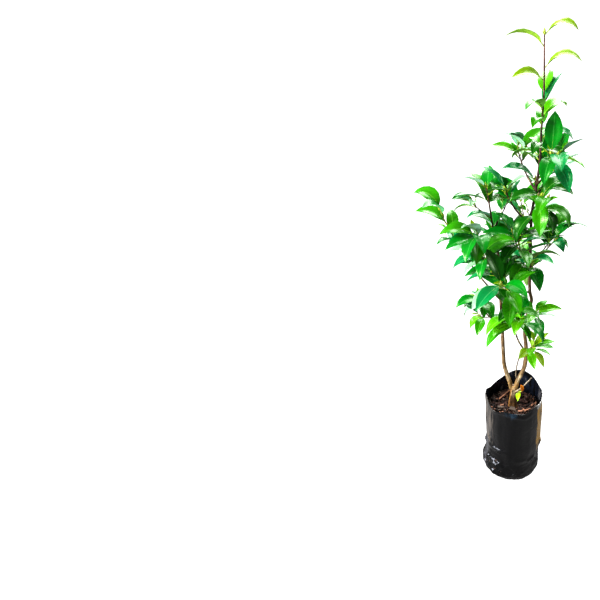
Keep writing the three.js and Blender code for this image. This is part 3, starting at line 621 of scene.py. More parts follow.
def side_shoots(path, row):
    """The side twigs of a shoot, thrown to either side in turn."""
    made = []
    for j in range(row["sides"]):
        share = SIDE_FROM + SIDE_SPAN * j / row["sides"]
        sign = 1 if (j + row["seed"]) % 2 == 0 else -1
        azimuth = row["azimuth"] + sign * (SIDE_TURN + SIDE_TURN_SPAN * jitter(row["seed"], j + TURN_DRAW))
        rise = row["rise"] + SIDE_RISE + SIDE_RISE_SPAN * jitter(row["seed"], j + RISE_DRAW)
        length = row["leafy"] * (SIDE_SHARE - SIDE_LESS * share) + SIDE_LEAST
        own = {**row, "leaves": row["side_leaves"], "first": SIDE_HABIT["first"]}
        own["size"] = row["size"] * SIDE_HABIT["size"]
        for key in ("seed", "spin"):
            own[key] = row[key] + SIDE_HABIT[key] * (j + 1)
        made.append((own, reach(along(path, share)[0], azimuth, rise, SIDE_CURL, length)))
    return made


print("shoots with side twigs:", sum(row["sides"] > 0 for row in SHOOTS))

# %% Limbs
GAP = 0.3  # between neighbouring solids that touch on the real plant
BOUGH_FROM = 40  # a shoot with a longer bare foot than this has it as a bough of its own
BOUGH_RADIUS, SHOOT_RADIUS, TWIG_RADIUS, TIP_RADIUS = 2.1, 1.6, 1.2, 0.8
limbs = []  # kind, owner, points and radii of each limb to draw
for name, rows in STEMS.items():
    points, radii = stretch(name, rows[0][0], STEM_TOPS[name])
    take_limb(name, points, radii)
for mass, (name, start, end) in TOP_STEMS.items():
    points, radii = stretch(name, start, end)
    points[0] = points[0] + UP * GAP
    take_limb(mass, points, radii)
for name, rows in DEAD_TWIGS.items():
    take_limb(name, [np.array(row[:3], dtype=float) for row in rows], [row[3] for row in rows])
grown = []
for row in SHOOTS:
    bare, leafy = paths_of(row)
    grown.append((row, leafy))
    if row["end"]:
        continue
    foot, body = bare, leafy
    if row["bare"] >= BOUGH_FROM and row["mass"] not in TOP_STEMS:
        radii = taper(BOUGH_RADIUS, SHOOT_RADIUS, len(bare))
        take_limb("bough " + row["mass"], bare, radii)
        limbs.append(("bough", row["mass"], bare, radii))
        body = [leafy[0] + along(leafy, 0)[1] * GAP, *leafy[1:]]
        foot = []
    points = [*foot[:-1], *body]
    radii = taper(SHOOT_RADIUS, TIP_RADIUS, len(points))
    take_limb(row["mass"], points, radii)
    limbs.append(("shoot", row["mass"], points, radii))
for row, path in list(grown):
    for own, twig in side_shoots(path, row):
        if keeps_off_limbs(row["mass"], twig, TIP_RADIUS + LEAF_TO_LIMB):
            radii = taper(TWIG_RADIUS, TIP_RADIUS, len(twig))
            take_limb(row["mass"], twig, radii)
            limbs.append(("twig", row["mass"], twig, radii))
            grown.append((own, twig))
print("limbs:", len(limbs))

# %% Leaves
leaves = []
for row, path in grown:
    for leaf in leaves_on(path, row):
        middle, points = spots_of(leaf)
        if leaf_is_clear(row["mass"], middle, points):
            leaf_spots.append((row["mass"], middle, points))
            leaves.append({**leaf, "mass": row["mass"]})
print("leaves:", len(leaves))

# %% [markdown]
# ## Spurs
# Every shoot and side twig also bears a spur of about a centimetre with two small young
# leaves, too slight for the solids. It could be scattered as copies of one model, but grown
# by the rule after everything else it takes nobody's room and touches nothing.

# %% Spurs
SPUR_LENGTH = 13
SPUR_RADII = (0.9, 0.6)
SPUR = {**HABIT, "leaves": 2, "size": 21, "first": 0.5, "open": 48, "lift": 0.4, "droop": 45}
SPUR_FROM, SPUR_SPAN = 0.3, 0.4  # shares of the shoot where it may leave
SPUR_TURN = 60  # to either side
SPUR_RISE, SPUR_RISE_SPAN, SPUR_CURL = 25, 30, 20
SPUR_DRAW, SPUR_RISE_DRAW, SPUR_SPIN_DRAW = 500, 501, 502
for index, (row, path) in enumerate(list(grown)):
    if row["end"] or row["mass"] == "young_shoot":
        continue
    start, heading = along(path, SPUR_FROM + SPUR_SPAN * jitter(index, SPUR_DRAW))
    turn = math.degrees(math.atan2(heading[1], heading[0])) + (SPUR_TURN if index % 2 else -SPUR_TURN)
    rise = SPUR_RISE + SPUR_RISE_SPAN * jitter(index, SPUR_RISE_DRAW)
    spur = reach(start, turn, rise, SPUR_CURL, SPUR_LENGTH)
    if not keeps_off_limbs(row["mass"], spur, TIP_RADIUS + LEAF_TO_LIMB):
        continue
    limbs.append(("spur", row["mass"], spur, taper(*SPUR_RADII, len(spur))))
    own = {**SPUR, "mass": row["mass"], "seed": index, "spin": 360 * jitter(index, SPUR_SPIN_DRAW)}
    for leaf in leaves_on(spur, own):
        middle, points = spots_of(leaf)
        if leaf_is_clear(row["mass"], middle, points):
            leaf_spots.append((row["mass"], middle, points))
            leaves.append({**leaf, "mass": row["mass"], "young": True})
print("limbs with spurs:", len(limbs), "leaves with young ones:", len(leaves))

# %% [markdown]
# ## One way to make every skin
# Limbs, blades, buds and the bag are all smooth sheets. They could each be extruded ring by
# ring, but one way serves them all: an operator makes a flat grid, and a function says where
# each of its points goes. The first number runs round or across, the second runs along, both
# from 0 to 1. Where a grid closes on itself its doubles are merged, which also turns a row
# of equal points into a clean tip.

# %% Skins
MERGE = 0.02 * MM


def skin(bm, columns, rows, place, closed=True):
    """Bends a grid of columns and rows to the places that the function gives."""
    made = bmesh.ops.create_grid(bm, x_segments=columns, y_segments=rows, size=1)["verts"]
    faces = {face for vert in made for face in vert.link_faces}
    layer = bm.loops.layers.uv.verify()
    for face in faces:
        face.smooth = True
        for loop in face.loops:
            loop[layer].uv = (loop.vert.co.x / 2 + 0.5, loop.vert.co.y / 2 + 0.5)
    for vert in made:
        vert.co = Vector(place(vert.co.x / 2 + 0.5, vert.co.y / 2 + 0.5)) * MM
    bmesh.ops.remove_doubles(bm, verts=made, dist=MERGE)
    for edge in {edge for face in faces if face.is_valid for edge in face.edges}:
        edge.smooth = not edge.is_boundary  # keeps the thin rim of a sheet crisp
    if closed:
        bmesh.ops.recalc_face_normals(bm, faces=[face for face in faces if face.is_valid])


def finished(bm, name, *materials):
    """Turns a bmesh into a linked piece."""
    mesh = bpy.data.meshes.new(name)
    bm.to_mesh(mesh)
    bm.free()
    print(f"{name}: {len(mesh.polygons)} faces")
    return piece(name, mesh, *materials)


print("points closer than", MERGE, "m are merged")

# %% Tubes
THINNEST = 0.2  # radius


def smooth_path(points, radii, spacing):
    """A Catmull-Rom curve through the points with its radii, at an even spacing."""
    rows = np.array([[*point, radius] for point, radius in zip(points, radii)])
    rows = np.vstack([2 * rows[0] - rows[1], rows, 2 * rows[-1] - rows[-2]])
    fine = []
    for a, b, c, d in zip(rows, rows[1:], rows[2:], rows[3:]):
        count = max(1, round(float(np.linalg.norm(c[:3] - b[:3])) / spacing))
        for t in (k / count for k in range(count)):
            fine.append(0.5 * (2 * b + (c - a) * t + (2 * a - 5 * b + 4 * c - d) * t**2
                               + (3 * b - a - 3 * c + d) * t**3))
    fine.append(rows[-2])
    fine = np.array(fine)
    return fine[:, :3], np.maximum(fine[:, 3], THINNEST)


def tube(bm, points, radii, columns, relief=None, spacing=3):
    """A closed round limb along a path. The relief adds to the radius at an angle and length."""
    points, radii = smooth_path(points, radii, spacing)
    ahead = np.gradient(points, axis=0)
    ahead /= np.linalg.norm(ahead, axis=1)[:, None]
    across = np.array((1.0, 0, 0))
    frames = []
    for heading in ahead:
        across = unit(across - heading * (across @ heading))
        frames.append((across, np.cross(heading, across)))
    lengths = np.concatenate([[0], np.cumsum(np.linalg.norm(np.diff(points, axis=0), axis=1))])
    last = len(points) - 1

    def place(u, v):
        i = round(v * (last + 2)) - 1
        if i < 0 or i > last:
            return points[min(max(i, 0), last)]
        angle = 2 * math.pi * u
        radius = radii[i] + (relief(angle % (2 * math.pi), lengths[i], radii[i]) if relief else 0)
        return points[i] + (frames[i][0] * math.cos(angle) + frames[i][1] * math.sin(angle)) * radius

    skin(bm, columns, last + 2, place)


print("no limb is thinner than", 2 * THINNEST, "mm")

# %% [markdown]
# ## Bark
# The lower stems of a young camellia are smooth, tan to olive, with long shallow ridges and
# old leaf scars. Higher up the bark is a year old and dark brown, and the leader's is new and
# reddish. An image wrapped round a stem would stretch where it tapers, so the colour is a
# ramp over the height with noises laid over it, stretched along the stems as fibre is.

# %% Colours of bark
PLANT_HEIGHT = 1.1
STEM_AGES = (
    # share of the plant's height, colour
    (0.22, "#6b4e2a"), (0.236, "#7d5c33"), (0.25, "#b8955f"), (0.28, "#94794f"), (0.4, "#7f6440"),
    (0.5, "#6e4e2e"), (0.62, "#533724"), (0.86, "#4a2f1f"), (1.0, "#7a4530"),
)
TWIG_AGES = ((0.0, "#7d6238"), (0.4, "#5f4327"), (0.6, "#46301f"), (1.0, "#4a3420"))
DEAD_AGES = ((0.27, "#b3a68f"), (0.3, "#7d6f59"))
FLECK_TONES = ((0.34, "#4c443c"), (0.5, "#b4aca2"), (0.64, "#ffffff"))
WORN = "#dcc49a"  # where the outer skin of the bark has rubbed off
FLECK, WORN_PATCH = 3.85, 13.3  # widths in millimetres
FIBRE = 1.11  # three times as coarse as it is, so that it shows
ALONG_STEM = 0.25  # under 1, it stretches a pattern along the stem
print("bark turns from", STEM_AGES[2][1], "at the fork to", STEM_AGES[-1][1], "at the tip")


# %% Bark material
def ramp(tree, factor, stops):
    """A colour ramp over a factor, from stops of place and colour."""
    node = add(tree, "ShaderNodeValToRGB", {"Fac": factor})
    while len(node.color_ramp.elements) < len(stops):
        node.color_ramp.elements.new(0.5)
    for element, (place, colour) in zip(node.color_ramp.elements, stops):
        element.position = place
        element.color = linear(colour)
    return node.outputs["Color"]


def scale_of(size):
    """The scale of a pattern whose marks are this many millimetres wide."""
    return 1 / (size * MM)


def bark_material(name, stops, mottle):
    """Half-matt bark: a colour by height, dark flecks, rubbed patches and fine fibre."""
    made, tree, shader = material(name, Roughness=0.55, IOR=1.5)
    where = add(tree, "ShaderNodeTexCoord").outputs["Object"]
    height = add(tree, "ShaderNodeSeparateXYZ", {"Vector": where}).outputs["Z"]
    share = add(tree, "ShaderNodeMath", {0: height, 1: PLANT_HEIGHT}, operation="DIVIDE").outputs[0]
    base = ramp(tree, share, stops)
    longwise = add(tree, "ShaderNodeMapping", {"Vector": where, "Scale": (1, 1, ALONG_STEM)}).outputs[0]
    flecks, patches, fibre = (
        add(tree, "ShaderNodeTexNoise",
            {"Vector": longwise, "Scale": scale_of(size), "Detail": detail}).outputs[0]
        for size, detail in ((FLECK, 4), (WORN_PATCH, 2), (FIBRE, 3))
    )
    tone = ramp(tree, flecks, FLECK_TONES)
    mixed = add(tree, "ShaderNodeMix", {"Factor": mottle, "A": base, "B": tone},
                data_type="RGBA", blend_type="MULTIPLY").outputs["Result"]
    rubbed = add(tree, "ShaderNodeMapRange",
                 {"Value": patches, "From Min": 0.56, "From Max": 0.66, "To Max": mottle * 0.8}).outputs[0]
    worn = add(tree, "ShaderNodeMix", {"Factor": rubbed, "A": mixed, "B": linear(WORN)}, data_type="RGBA")
    tree.links.new(worn.outputs["Result"], shader.inputs["Base Color"])
    bump = add(tree, "ShaderNodeBump", {"Height": fibre, "Strength": 0.35, "Distance": 0.0006})
    tree.links.new(bump.outputs["Normal"], shader.inputs["Normal"])
    return made


old_bark = bark_material("camellia bark, weathered", STEM_AGES, 0.75)
young_bark = bark_material("camellia bark, first year", TWIG_AGES, 0.6)
dead_wood = bark_material("dead twig, bleached", DEAD_AGES, 0.7)
print("bark:", old_bark.name, "/", young_bark.name, "/", dead_wood.name)

# %% [markdown]
# ## Trunk and stems
# The trunk flares into its roots at the soil and widens to an oval where it forks. The stems
# have shallow ridges, and a ring scar where each old leaf fell. A bump map would leave their
# outline straight, so ridges and scars are real relief that pushes the radius of a tube.

# %% Relief of a stem
SCAR_SPACING = 31
SCAR_SLANT = 9  # how far a scar rises as it goes round
SCAR_MIDDLE, SCAR_SPREAD = 4, 5
SCAR_SWELLING, RIDGE_HEIGHT, FINE_HEIGHT = 0.07, 0.09, 0.03  # shares of the radius
RIDGE_LENGTH, FINE_LENGTH = 26, 7
RIDGES, FINE_RIDGES = 1.6, 4.8  # how far the noise runs on each side of the middle


def stem_relief(seed):
    """Shallow ridges along a stem, and a ring scar with a swelling every few centimetres."""

    def relief(angle, length, radius):
        x, y = math.cos(angle), math.sin(angle)
        ridge = noise.noise((x * RIDGES, y * RIDGES, length / RIDGE_LENGTH + seed)) * RIDGE_HEIGHT
        fine = noise.noise((x * FINE_RIDGES, y * FINE_RIDGES, length / FINE_LENGTH + seed)) * FINE_HEIGHT
        from_scar = (length + SCAR_SLANT * math.sin(angle + seed)) % SCAR_SPACING
        scar = SCAR_SWELLING * math.exp(-((from_scar - SCAR_MIDDLE) ** 2) / SCAR_SPREAD)
        return (ridge + fine + scar) * radius

    return relief


print("a scar every", SCAR_SPACING, "mm")

# %% Trunk
TRUNK_ROWS = (
    # height over the soil, half width along X, half width along Y
    (0, 11.5, 11), (1, 10.6, 10.2), (4, 8.7, 8.3), (8, 7.7, 7.3), (13, 7, 6.6), (22, 6.6, 6.2),
    (32, 6.4, 6), (42, 7, 5.9), (50, 8.2, 5.8), (57, 9.6, 5.7), (63, 10.4, 5.3), (67, 8.8, 3.6),
)
TRUNK_COLUMNS = 28
TRUNK_RADIUS, TRUNK_SEED = 6, 3  # for its relief
LEAN_FROM, LEAN = 20, 0.05  # above this height it leans, by this share
ROOTS, ROOT_HEIGHT, ROOT_SWELLING = 5, 14, 0.08
CAP = 2  # how far the middle of its top lies below the edge


def trunk_skin(bm):
    """The flared trunk, oval where it nears the fork."""
    relief = stem_relief(TRUNK_SEED)
    last = len(TRUNK_ROWS) - 1

    def place(u, v):
        i = round(v * (last + 2)) - 1
        height, wide, deep = TRUNK_ROWS[min(max(i, 0), last)]
        centre = -LEAN * max(0, height - LEAN_FROM)
        if i < 0 or i > last:
            return (centre, 0, SOIL_LEVEL + height - (0 if i < 0 else CAP))
        angle = 2 * math.pi * u
        fading = max(0, 1 - height / ROOT_HEIGHT)
        roots = ROOT_SWELLING * wide * math.cos(ROOTS * angle + 1) * fading
        swell = relief(angle % (2 * math.pi), height, TRUNK_RADIUS) + roots
        x, y = (wide + swell) * math.cos(angle), (deep + swell) * math.sin(angle)
        return (centre + x, y, SOIL_LEVEL + height)

    skin(bm, TRUNK_COLUMNS, last + 2, place)


bm = bmesh.new()
trunk_skin(bm)
finished_trunk = finished(bm, "trunk_bark", old_bark)
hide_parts("trunk")
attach(finished_trunk, "root")

# %% Stems
STEM_COLUMNS = 18
ROOTED = 9  # how far a stem's skin starts inside the fork
ROOTED_SHARE = 0.8  # how thick it is there
for side, seed, aside in (("right", 11, 0.5), ("left", 23, -0.5)):
    points, radii = stretch(side, STEMS[side][0][0], STEMS[side][-1][0])
    below = points[0] - np.array((aside, 0, ROOTED))
    points, radii = [below, *points], [radii[0] * ROOTED_SHARE, *radii]
    bm = bmesh.new()
    tube(bm, points, radii, STEM_COLUMNS, stem_relief(seed))
    stem_piece = finished(bm, f"stem_{side}_bark", old_bark)
    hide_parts(f"stem_{side}")
    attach(stem_piece, "root")

# %% [markdown]
# ## Boughs, shoots and twigs
# A twig swells at each leaf joint and where it leaves its parent. Each limb could be a piece,
# but there are dozens, so all that wear the same bark and stand in for the same kind of
# solid are joined in one mesh.

# %% Boughs and shoots
JOINT_SPACING, JOINT_MIDDLE, JOINT_SPREAD = 17, 8, 3
JOINT_SWELLING, TWIG_RIDGE_HEIGHT, TWIG_RIDGE_LENGTH = 0.35, 0.16, 9
COLLAR = 1.35  # how much thicker a bough or twig is where it leaves its parent
BOUGH_COLUMNS, SHOOT_COLUMNS = 10, 8


def twig_relief(seed):
    """A small swelling at each leaf joint, and faint ridges."""

    def relief(angle, length, radius):
        where = (math.cos(angle), math.sin(angle), length / TWIG_RIDGE_LENGTH + seed)
        from_joint = (length + seed) % JOINT_SPACING - JOINT_MIDDLE
        joint = JOINT_SWELLING * math.exp(-(from_joint**2) / JOINT_SPREAD)
        return (noise.noise(where) * TWIG_RIDGE_HEIGHT + joint) * radius

    return relief


bough_bm, shoot_bm = bmesh.new(), bmesh.new()
for index, (kind, mass, points, radii) in enumerate(limbs):
    target, columns = (bough_bm, BOUGH_COLUMNS) if kind == "bough" else (shoot_bm, SHOOT_COLUMNS)
    swollen = radii if kind == "shoot" else [radii[0] * COLLAR, *radii[1:]]
    tube(target, points, swollen, columns, twig_relief(index))
boughs = finished(bough_bm, "bough_bark", young_bark)
shoots_piece = finished(shoot_bm, "shoot_bark", young_bark)
names = sorted(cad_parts)
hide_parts(*[name for name in names if name.startswith("bough_")])
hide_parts(*[name for name in names if name.startswith("mass_")])
for made in (boughs, shoots_piece):
    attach(made, "root")

# %% Dead twigs
FLAKING = 0.4  # how far their loose bark stands proud
DEAD_SEED = 60
bm = bmesh.new()
for index, (name, rows) in enumerate(DEAD_TWIGS.items()):
    points = [np.array(row[:3], dtype=float) for row in rows]
    tube(bm, points, [row[3] + FLAKING for row in rows], SHOOT_COLUMNS, twig_relief(index + DEAD_SEED))
dead_twigs = finished(bm, "dead_twigs_bark", dead_wood)
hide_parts(*DEAD_TWIGS)
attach(dead_twigs, "root")

# %% [markdown]
# ## Leaves
# A camellia leaf is leathery, dark and waxed above, paler and matt below, with a sunken
# midrib, side veins that puff the blade up between them, and a drawn-out tip. Each blade is a
# small grid bent down from its stalk. A Solidify modifier gives it a thickness and puts the
# matt underside on the lower face. Tints go leaf by leaf: each tint is a plain base colour
# and a piece of its own, so that it lies the same wherever the model is used.

# %% Tints and veins
TINTS = {
    # upper face, underside
    "deep": ("#0a5a00", "#4f8f3c"), "forest": ("#007c16", "#5aa368"), "moss": ("#2f8c00", "#6fa040"),
    "grass": ("#50a800", "#8cbc4a"), "spring": ("#7fa800", "#8fb830"), "lime": ("#9cd010", "#acd44a"),
    # pale, on both faces, is a painted sheen: the glare off the wax laid into the base colour
    "bluish": ("#048240", "#7fb898"), "pale": ("#8abb90", "#a4cfae"),
}
SHEEN = "#d8ffc8"  # of the wax, a little green
WAXED, MATT, DRIED = 0.27, 0.6, 0.55  # roughness
VEIN_PAIRS = 7
VEIN_SLANT = -0.5  # how far a side vein runs towards the tip
RIB_EDGES = (0.012, 0.045)  # where the midrib ends and its blur ends, in widths of the blade
VEIN_EDGES = (0.8, 1.0)  # of the wave that draws the side veins
VEIN_SHARE = 0.1  # how much a side vein shows beside the midrib
SUNKEN, PROUD = -1.0, 1.0
CLOUD = 16.7  # width in millimetres of the cloudy patches on a blade
CLOUD_TONES = ((0.3, "#c4c4c4"), (0.7, "#ffffff"))
print("leaf tints:", ", ".join(TINTS))


# %% Leaf materials
def leaf_material(name, colour, vein, rough, puff):
    """Leathery blade: glossy where waxed, with a pale midrib, faint side veins and their relief."""
    made, tree, shader = material(name, Roughness=rough, IOR=1.45, Specular_IOR_Level=0.5,
                                  Specular_Tint=linear(SHEEN))
    uv = add(tree, "ShaderNodeUVMap").outputs["UV"]
    parts = add(tree, "ShaderNodeSeparateXYZ", {"Vector": uv}).outputs
    centred = add(tree, "ShaderNodeMath", {0: parts["X"], 1: 0.5}, operation="SUBTRACT").outputs[0]
    aside = add(tree, "ShaderNodeMath", {0: centred}, operation="ABSOLUTE").outputs[0]
    slant = add(tree, "ShaderNodeMath", {0: aside, 1: VEIN_SLANT, 2: parts["Y"]},
                operation="MULTIPLY_ADD").outputs[0]
    wave = add(tree, "ShaderNodeMath", {0: slant, 1: 2 * math.pi * VEIN_PAIRS},
               operation="MULTIPLY").outputs[0]
    veins = add(tree, "ShaderNodeMath", {0: wave}, operation="COSINE").outputs[0]
    midrib = add(tree, "ShaderNodeMapRange", {"Value": aside, "From Min": RIB_EDGES[0],
                 "From Max": RIB_EDGES[1], "To Min": 1.0, "To Max": 0.0}).outputs[0]
    side_vein = add(tree, "ShaderNodeMapRange", {"Value": veins, "From Min": VEIN_EDGES[0],
                    "From Max": VEIN_EDGES[1], "To Min": 0.0, "To Max": VEIN_SHARE}).outputs[0]
    pale = add(tree, "ShaderNodeMath", {0: midrib, 1: side_vein}, operation="MAXIMUM").outputs[0]
    where = add(tree, "ShaderNodeTexCoord").outputs["Object"]
    cloud = add(tree, "ShaderNodeTexNoise",
                {"Vector": where, "Scale": scale_of(CLOUD), "Detail": 2}).outputs[0]
    tone = ramp(tree, cloud, CLOUD_TONES)
    blotched = add(tree, "ShaderNodeMix", {"Factor": 0.5, "A": linear(colour), "B": tone},
                   data_type="RGBA", blend_type="MULTIPLY").outputs["Result"]
    mixed = add(tree, "ShaderNodeMix", {"Factor": pale, "A": blotched, "B": linear(vein)}, data_type="RGBA")
    tree.links.new(mixed.outputs["Result"], shader.inputs["Base Color"])
    relief = add(tree, "ShaderNodeMath", {0: pale, 1: puff}, operation="MULTIPLY").outputs[0]
    bump = add(tree, "ShaderNodeBump", {"Height": relief, "Strength": 0.2, "Distance": 0.0008})
    tree.links.new(bump.outputs["Normal"], shader.inputs["Normal"])
    return made


def lighter(code, share):
    """A colour part of the way to pale yellow-green, in sRGB."""
    pale = (224, 240, 176)
    parts = [int(code[i : i + 2], 16) for i in (1, 3, 5)]
    return "#" + "".join(f"{round(a + (b - a) * share):02x}" for a, b in zip(parts, pale))


leaf_finishes = {
    tint: (
        leaf_material(f"camellia leaf, waxed, {tint}", upper, lighter(upper, 0.24), WAXED, SUNKEN),
        leaf_material(f"camellia leaf underside, matt, {tint}", under, lighter(under, 0.5), MATT, PROUD),
    )
    for tint, (upper, under) in TINTS.items()
}
print("leaf materials:", 2 * len(leaf_finishes))

# %% [markdown]
# ## Dealing out the tints
# On the plant the lowest and the topmost leaves are young and yellow-green, and the inner ones
# are deep green. The pale tint on a few leaves is a painted sheen, the glare off their wax laid
# into the base colour. A noise over the crown would paint across blades. So each mass has a list
# of tints, and its leaves take them in the order in which they grew, over and over.

# %% Tints of the masses
MASS_TINTS = {
    "leader_top": "moss moss grass moss bluish grass spring spring spring spring",
    "leader_collar": "moss moss deep moss deep bluish",
    "upper_right": "bluish bluish grass forest forest",
    "mid_right": "bluish deep bluish moss bluish forest deep forest",
    "front_right": "deep moss moss moss deep deep deep moss",
    "low_right": "bluish forest pale deep pale moss deep bluish forest",
    "front_shoot": "forest moss moss bluish deep",
    "behind_right": "deep forest bluish",
    "upper_left": "forest grass moss pale bluish moss pale",
    "mid_left": "forest deep pale bluish forest",
    "inner_left": "forest bluish moss deep deep moss forest deep forest bluish moss forest",
    "low_inner": "forest moss moss pale moss pale forest deep bluish deep bluish forest",
    "short_right": "moss pale moss forest moss grass grass moss",
    "front_low": "grass moss moss forest grass moss deep deep grass forest forest grass",
    "lowest_right": "grass moss spring grass lime spring spring grass moss spring",
    "back_low": "forest deep moss bluish",
    "back_mid": "forest bluish moss",
    "back_left": "forest moss bluish deep",
    "left_crown": "forest forest pale bluish moss pale deep forest pale bluish moss pale forest forest "
                  "moss forest",
    "far_left": "bluish forest moss moss forest moss",
    "left_low": "grass deep pale deep bluish forest",
    "left_wide": "forest moss pale bluish forest moss pale deep bluish forest pale",
    "left_hang": "pale grass moss bluish",
    "young_shoot": "lime",
}
YOUNG_TINTS = ("grass", "spring", "moss")
print("masses with a list of tints:", len(MASS_TINTS))

# %% Blades
BLADE_COLUMNS, BLADE_ROWS = 4, 7
BLADE_BULGE = 0.12  # how far each half of a blade puffs up, in half widths
BLADE_WAVE = 0.012  # how far its edges wave, in lengths
WAVES, WAVE_LAG = 1.8, 0.25  # how many waves an edge has, and how far one edge is behind
WAVE_DRAW = 7
TIP_FROM, TIP_NARROWING = 0.8, 1.8  # where the drawn-out tip starts, and how it narrows
BLADE_THICKNESS = 0.5 * MM


def blade_skin(bm, leaf, index):
    """A blade's upper face, arched, folded along its midrib, with waved edges."""

    def place(u, share):
        across = 1 - 2 * u
        middle, side, over, half = blade(leaf, share)
        in_tip = max(0, (share - TIP_FROM) / (1 - TIP_FROM))
        half *= 1 - TIP_NARROWING * in_tip**2 * (1 - share)
        point = blade_point((middle, side, over, half), across)
        puff = BLADE_BULGE * half * math.sin(math.pi * abs(across))
        turn = 2 * math.pi * (WAVES * share + jitter(index, WAVE_DRAW) + WAVE_LAG * across)
        wave = BLADE_WAVE * leaf["length"] * across**2 * math.sin(turn)
        return point + over * (puff + wave * math.sin(math.pi * share))

    skin(bm, BLADE_COLUMNS, BLADE_ROWS, place, closed=False)


print("a blade has", BLADE_COLUMNS * BLADE_ROWS, "faces above")

# %% Leaves of every tint
blades = {tint: bmesh.new() for tint in TINTS}
wearers = {tint: set() for tint in TINTS}  # the solids that the leaves of a tint stand in for
dealt = {mass: 0 for mass in MASS_TINTS}
for index, leaf in enumerate(leaves):
    choices = YOUNG_TINTS if leaf["young"] else MASS_TINTS[leaf["mass"]].split()
    tint = choices[dealt[leaf["mass"]] % len(choices)]
    dealt[leaf["mass"]] += 1
    blade_skin(blades[tint], leaf, index)
    wearers[tint].add("mass_" + leaf["mass"])
for tint, bm in blades.items():
    made = finished(bm, f"leaves_{tint}", *leaf_finishes[tint])
    thick = made.modifiers.new("leathery blade", "SOLIDIFY")
    thick.thickness = BLADE_THICKNESS
    thick.offset = -1
    thick.material_offset = 1
    thick.use_rim = True
    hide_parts(*sorted(wearers[tint]))
    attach(made, "root")

# %% [markdown]
# ## A withered leaf
# One old leaf has turned orange and hangs from the dead stub. It is a blade like the others
# with places and angles of its own, because no rule would hang it there.

# %% Withered leaf
WITHERED = {
    "at": np.array((11.5, -9.0, 299.0)), "azimuth": -0.6, "rise": -1.1, "droop": 0.5, "roll": 0.3,
    "length": 22,
}
withered_leaf = leaf_material("camellia leaf, withered", "#d9780e", "#e8b04a", DRIED, SUNKEN)
bm = bmesh.new()
blade_skin(bm, WITHERED, 3)
made = finished(bm, "withered_leaf", withered_leaf)
made.modifiers.new("dry blade", "SOLIDIFY").thickness = BLADE_THICKNESS
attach(made, "root")

# %% [markdown]
# ## Stalks, ribs and buds
# Each stalk runs on under its blade as the rib. Where shoots end, camellias carry a fat
# pointed bud in yellow-green scales, and smaller ones sit where the stalks leave. A bump
# could stand for a rib, but it would vanish from the side, so stalk and rib are one thin
# tube, and a bud is a skin swollen near its foot.

# %% Stalks and ribs
# A fresh stalk is smooth and a little shiny.
fresh_green = material("leaf stalk, fresh", Base_Color=linear("#9db52a"), Roughness=0.45)[0]
STALK_COLUMNS, STALK_SPACING = 5, 7
RIB_SHARES = (0, 0.2, 0.45, 0.7)  # of the blade's length
STALK_RADIUS, RIB_RADIUS = 1.0, 0.85  # the rib's at the foot of the blade
RIB_DEPTH = 0.5  # below the upper face
stalk_bm = bmesh.new()
for leaf in leaves:
    points, radii = [leaf["at"]], [STALK_RADIUS]
    for share in RIB_SHARES:
        middle, _, over, _ = blade(leaf, share)
        points.append(middle - over * RIB_DEPTH)
        radii.append(RIB_RADIUS - share)
    tube(stalk_bm, points, radii, STALK_COLUMNS, spacing=STALK_SPACING)
print("stalks:", len(leaves))

# %% Buds
# Bud scales are waxy, so they shine a little more than a stalk.
bud_scale = material("bud scale, waxy", Base_Color=linear("#9fae3a"), Roughness=0.4)[0]
BUD_COLUMNS, BUD_ROWS = 6, 6
BUD_ACROSS = (0.3, 0.9, 0.2)  # any direction that no bud takes
BUD_DRAW, BUD_SIZE_DRAW = 41, 42
BUDDED = 0.6  # share of the stalks that have a bud
BUD_TILT = 0.6  # how much steeper than its stalk the bud stands
SIDE_BUD, SIDE_BUD_SPAN, SIDE_BUD_RADIUS = 5, 2, 1.3
END_BUD, END_BUD_RADIUS, END_BUD_SUNK = 11, 2.0, 1
SCALES, SCALE_LENGTH, SCALE_SUNK = 3, 7, 2  # the loose scales round the bud at a tip
SCALE_TURN, SCALE_RISE, SCALE_LEAN = 2.1, 0.4, 0.8


def bud_skin(bm, foot, heading, length, radius):
    """A pointed bud on its foot."""
    heading = unit(heading)
    across = unit(np.cross(heading, BUD_ACROSS))
    over = np.cross(heading, across)

    def place(u, v):
        width = radius * math.sin(math.pi * v**0.7) ** 0.8 if 0 < v < 1 else 0
        angle = 2 * math.pi * u
        return foot + heading * length * v + (across * math.cos(angle) + over * math.sin(angle)) * width

    skin(bm, BUD_COLUMNS, BUD_ROWS, place)


bud_bm = bmesh.new()
for index, leaf in enumerate(leaves):
    if jitter(index, BUD_DRAW) < BUDDED:
        heading = aim(leaf["azimuth"], leaf["rise"] + BUD_TILT)
        length = SIDE_BUD + SIDE_BUD_SPAN * jitter(index, BUD_SIZE_DRAW)
        bud_skin(bud_bm, leaf["at"], heading, length, SIDE_BUD_RADIUS)
for index, (row, path) in enumerate(grown):
    if row["end"] and row["end"] < STEMS[row["on"]][-1][0]:
        continue  # the stem runs on from here
    tip, heading = along(path, 1)
    bud_skin(bud_bm, tip - heading * END_BUD_SUNK, heading, END_BUD, END_BUD_RADIUS)
    for k in range(SCALES):
        leaning = heading + aim(SCALE_TURN * k + index, SCALE_RISE) * SCALE_LEAN
        bud_skin(bud_bm, tip - heading * SCALE_SUNK, leaning, SCALE_LENGTH, SIDE_BUD_RADIUS)
for bm, name, finish in ((stalk_bm, "leaf_stalks", fresh_green), (bud_bm, "buds", bud_scale)):
    made = finished(bm, name, finish)
    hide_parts(*[node for node in names if node.startswith("mass_")])
    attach(made, "root")

# %% [markdown]
# ## The planter bag
# A polythene planter bag is a soft tube with a welded bottom and two side folds. Filled, it
# stands round, with creases where the film was pressed down and a rim that sags in front.
# A cloth simulation could find such creases, but not these ones. So a grid goes from the
# middle of the base up the wall to the rim, its points are pushed by creases and folds that
# each have their place, and a Solidify modifier gives the film its thickness.

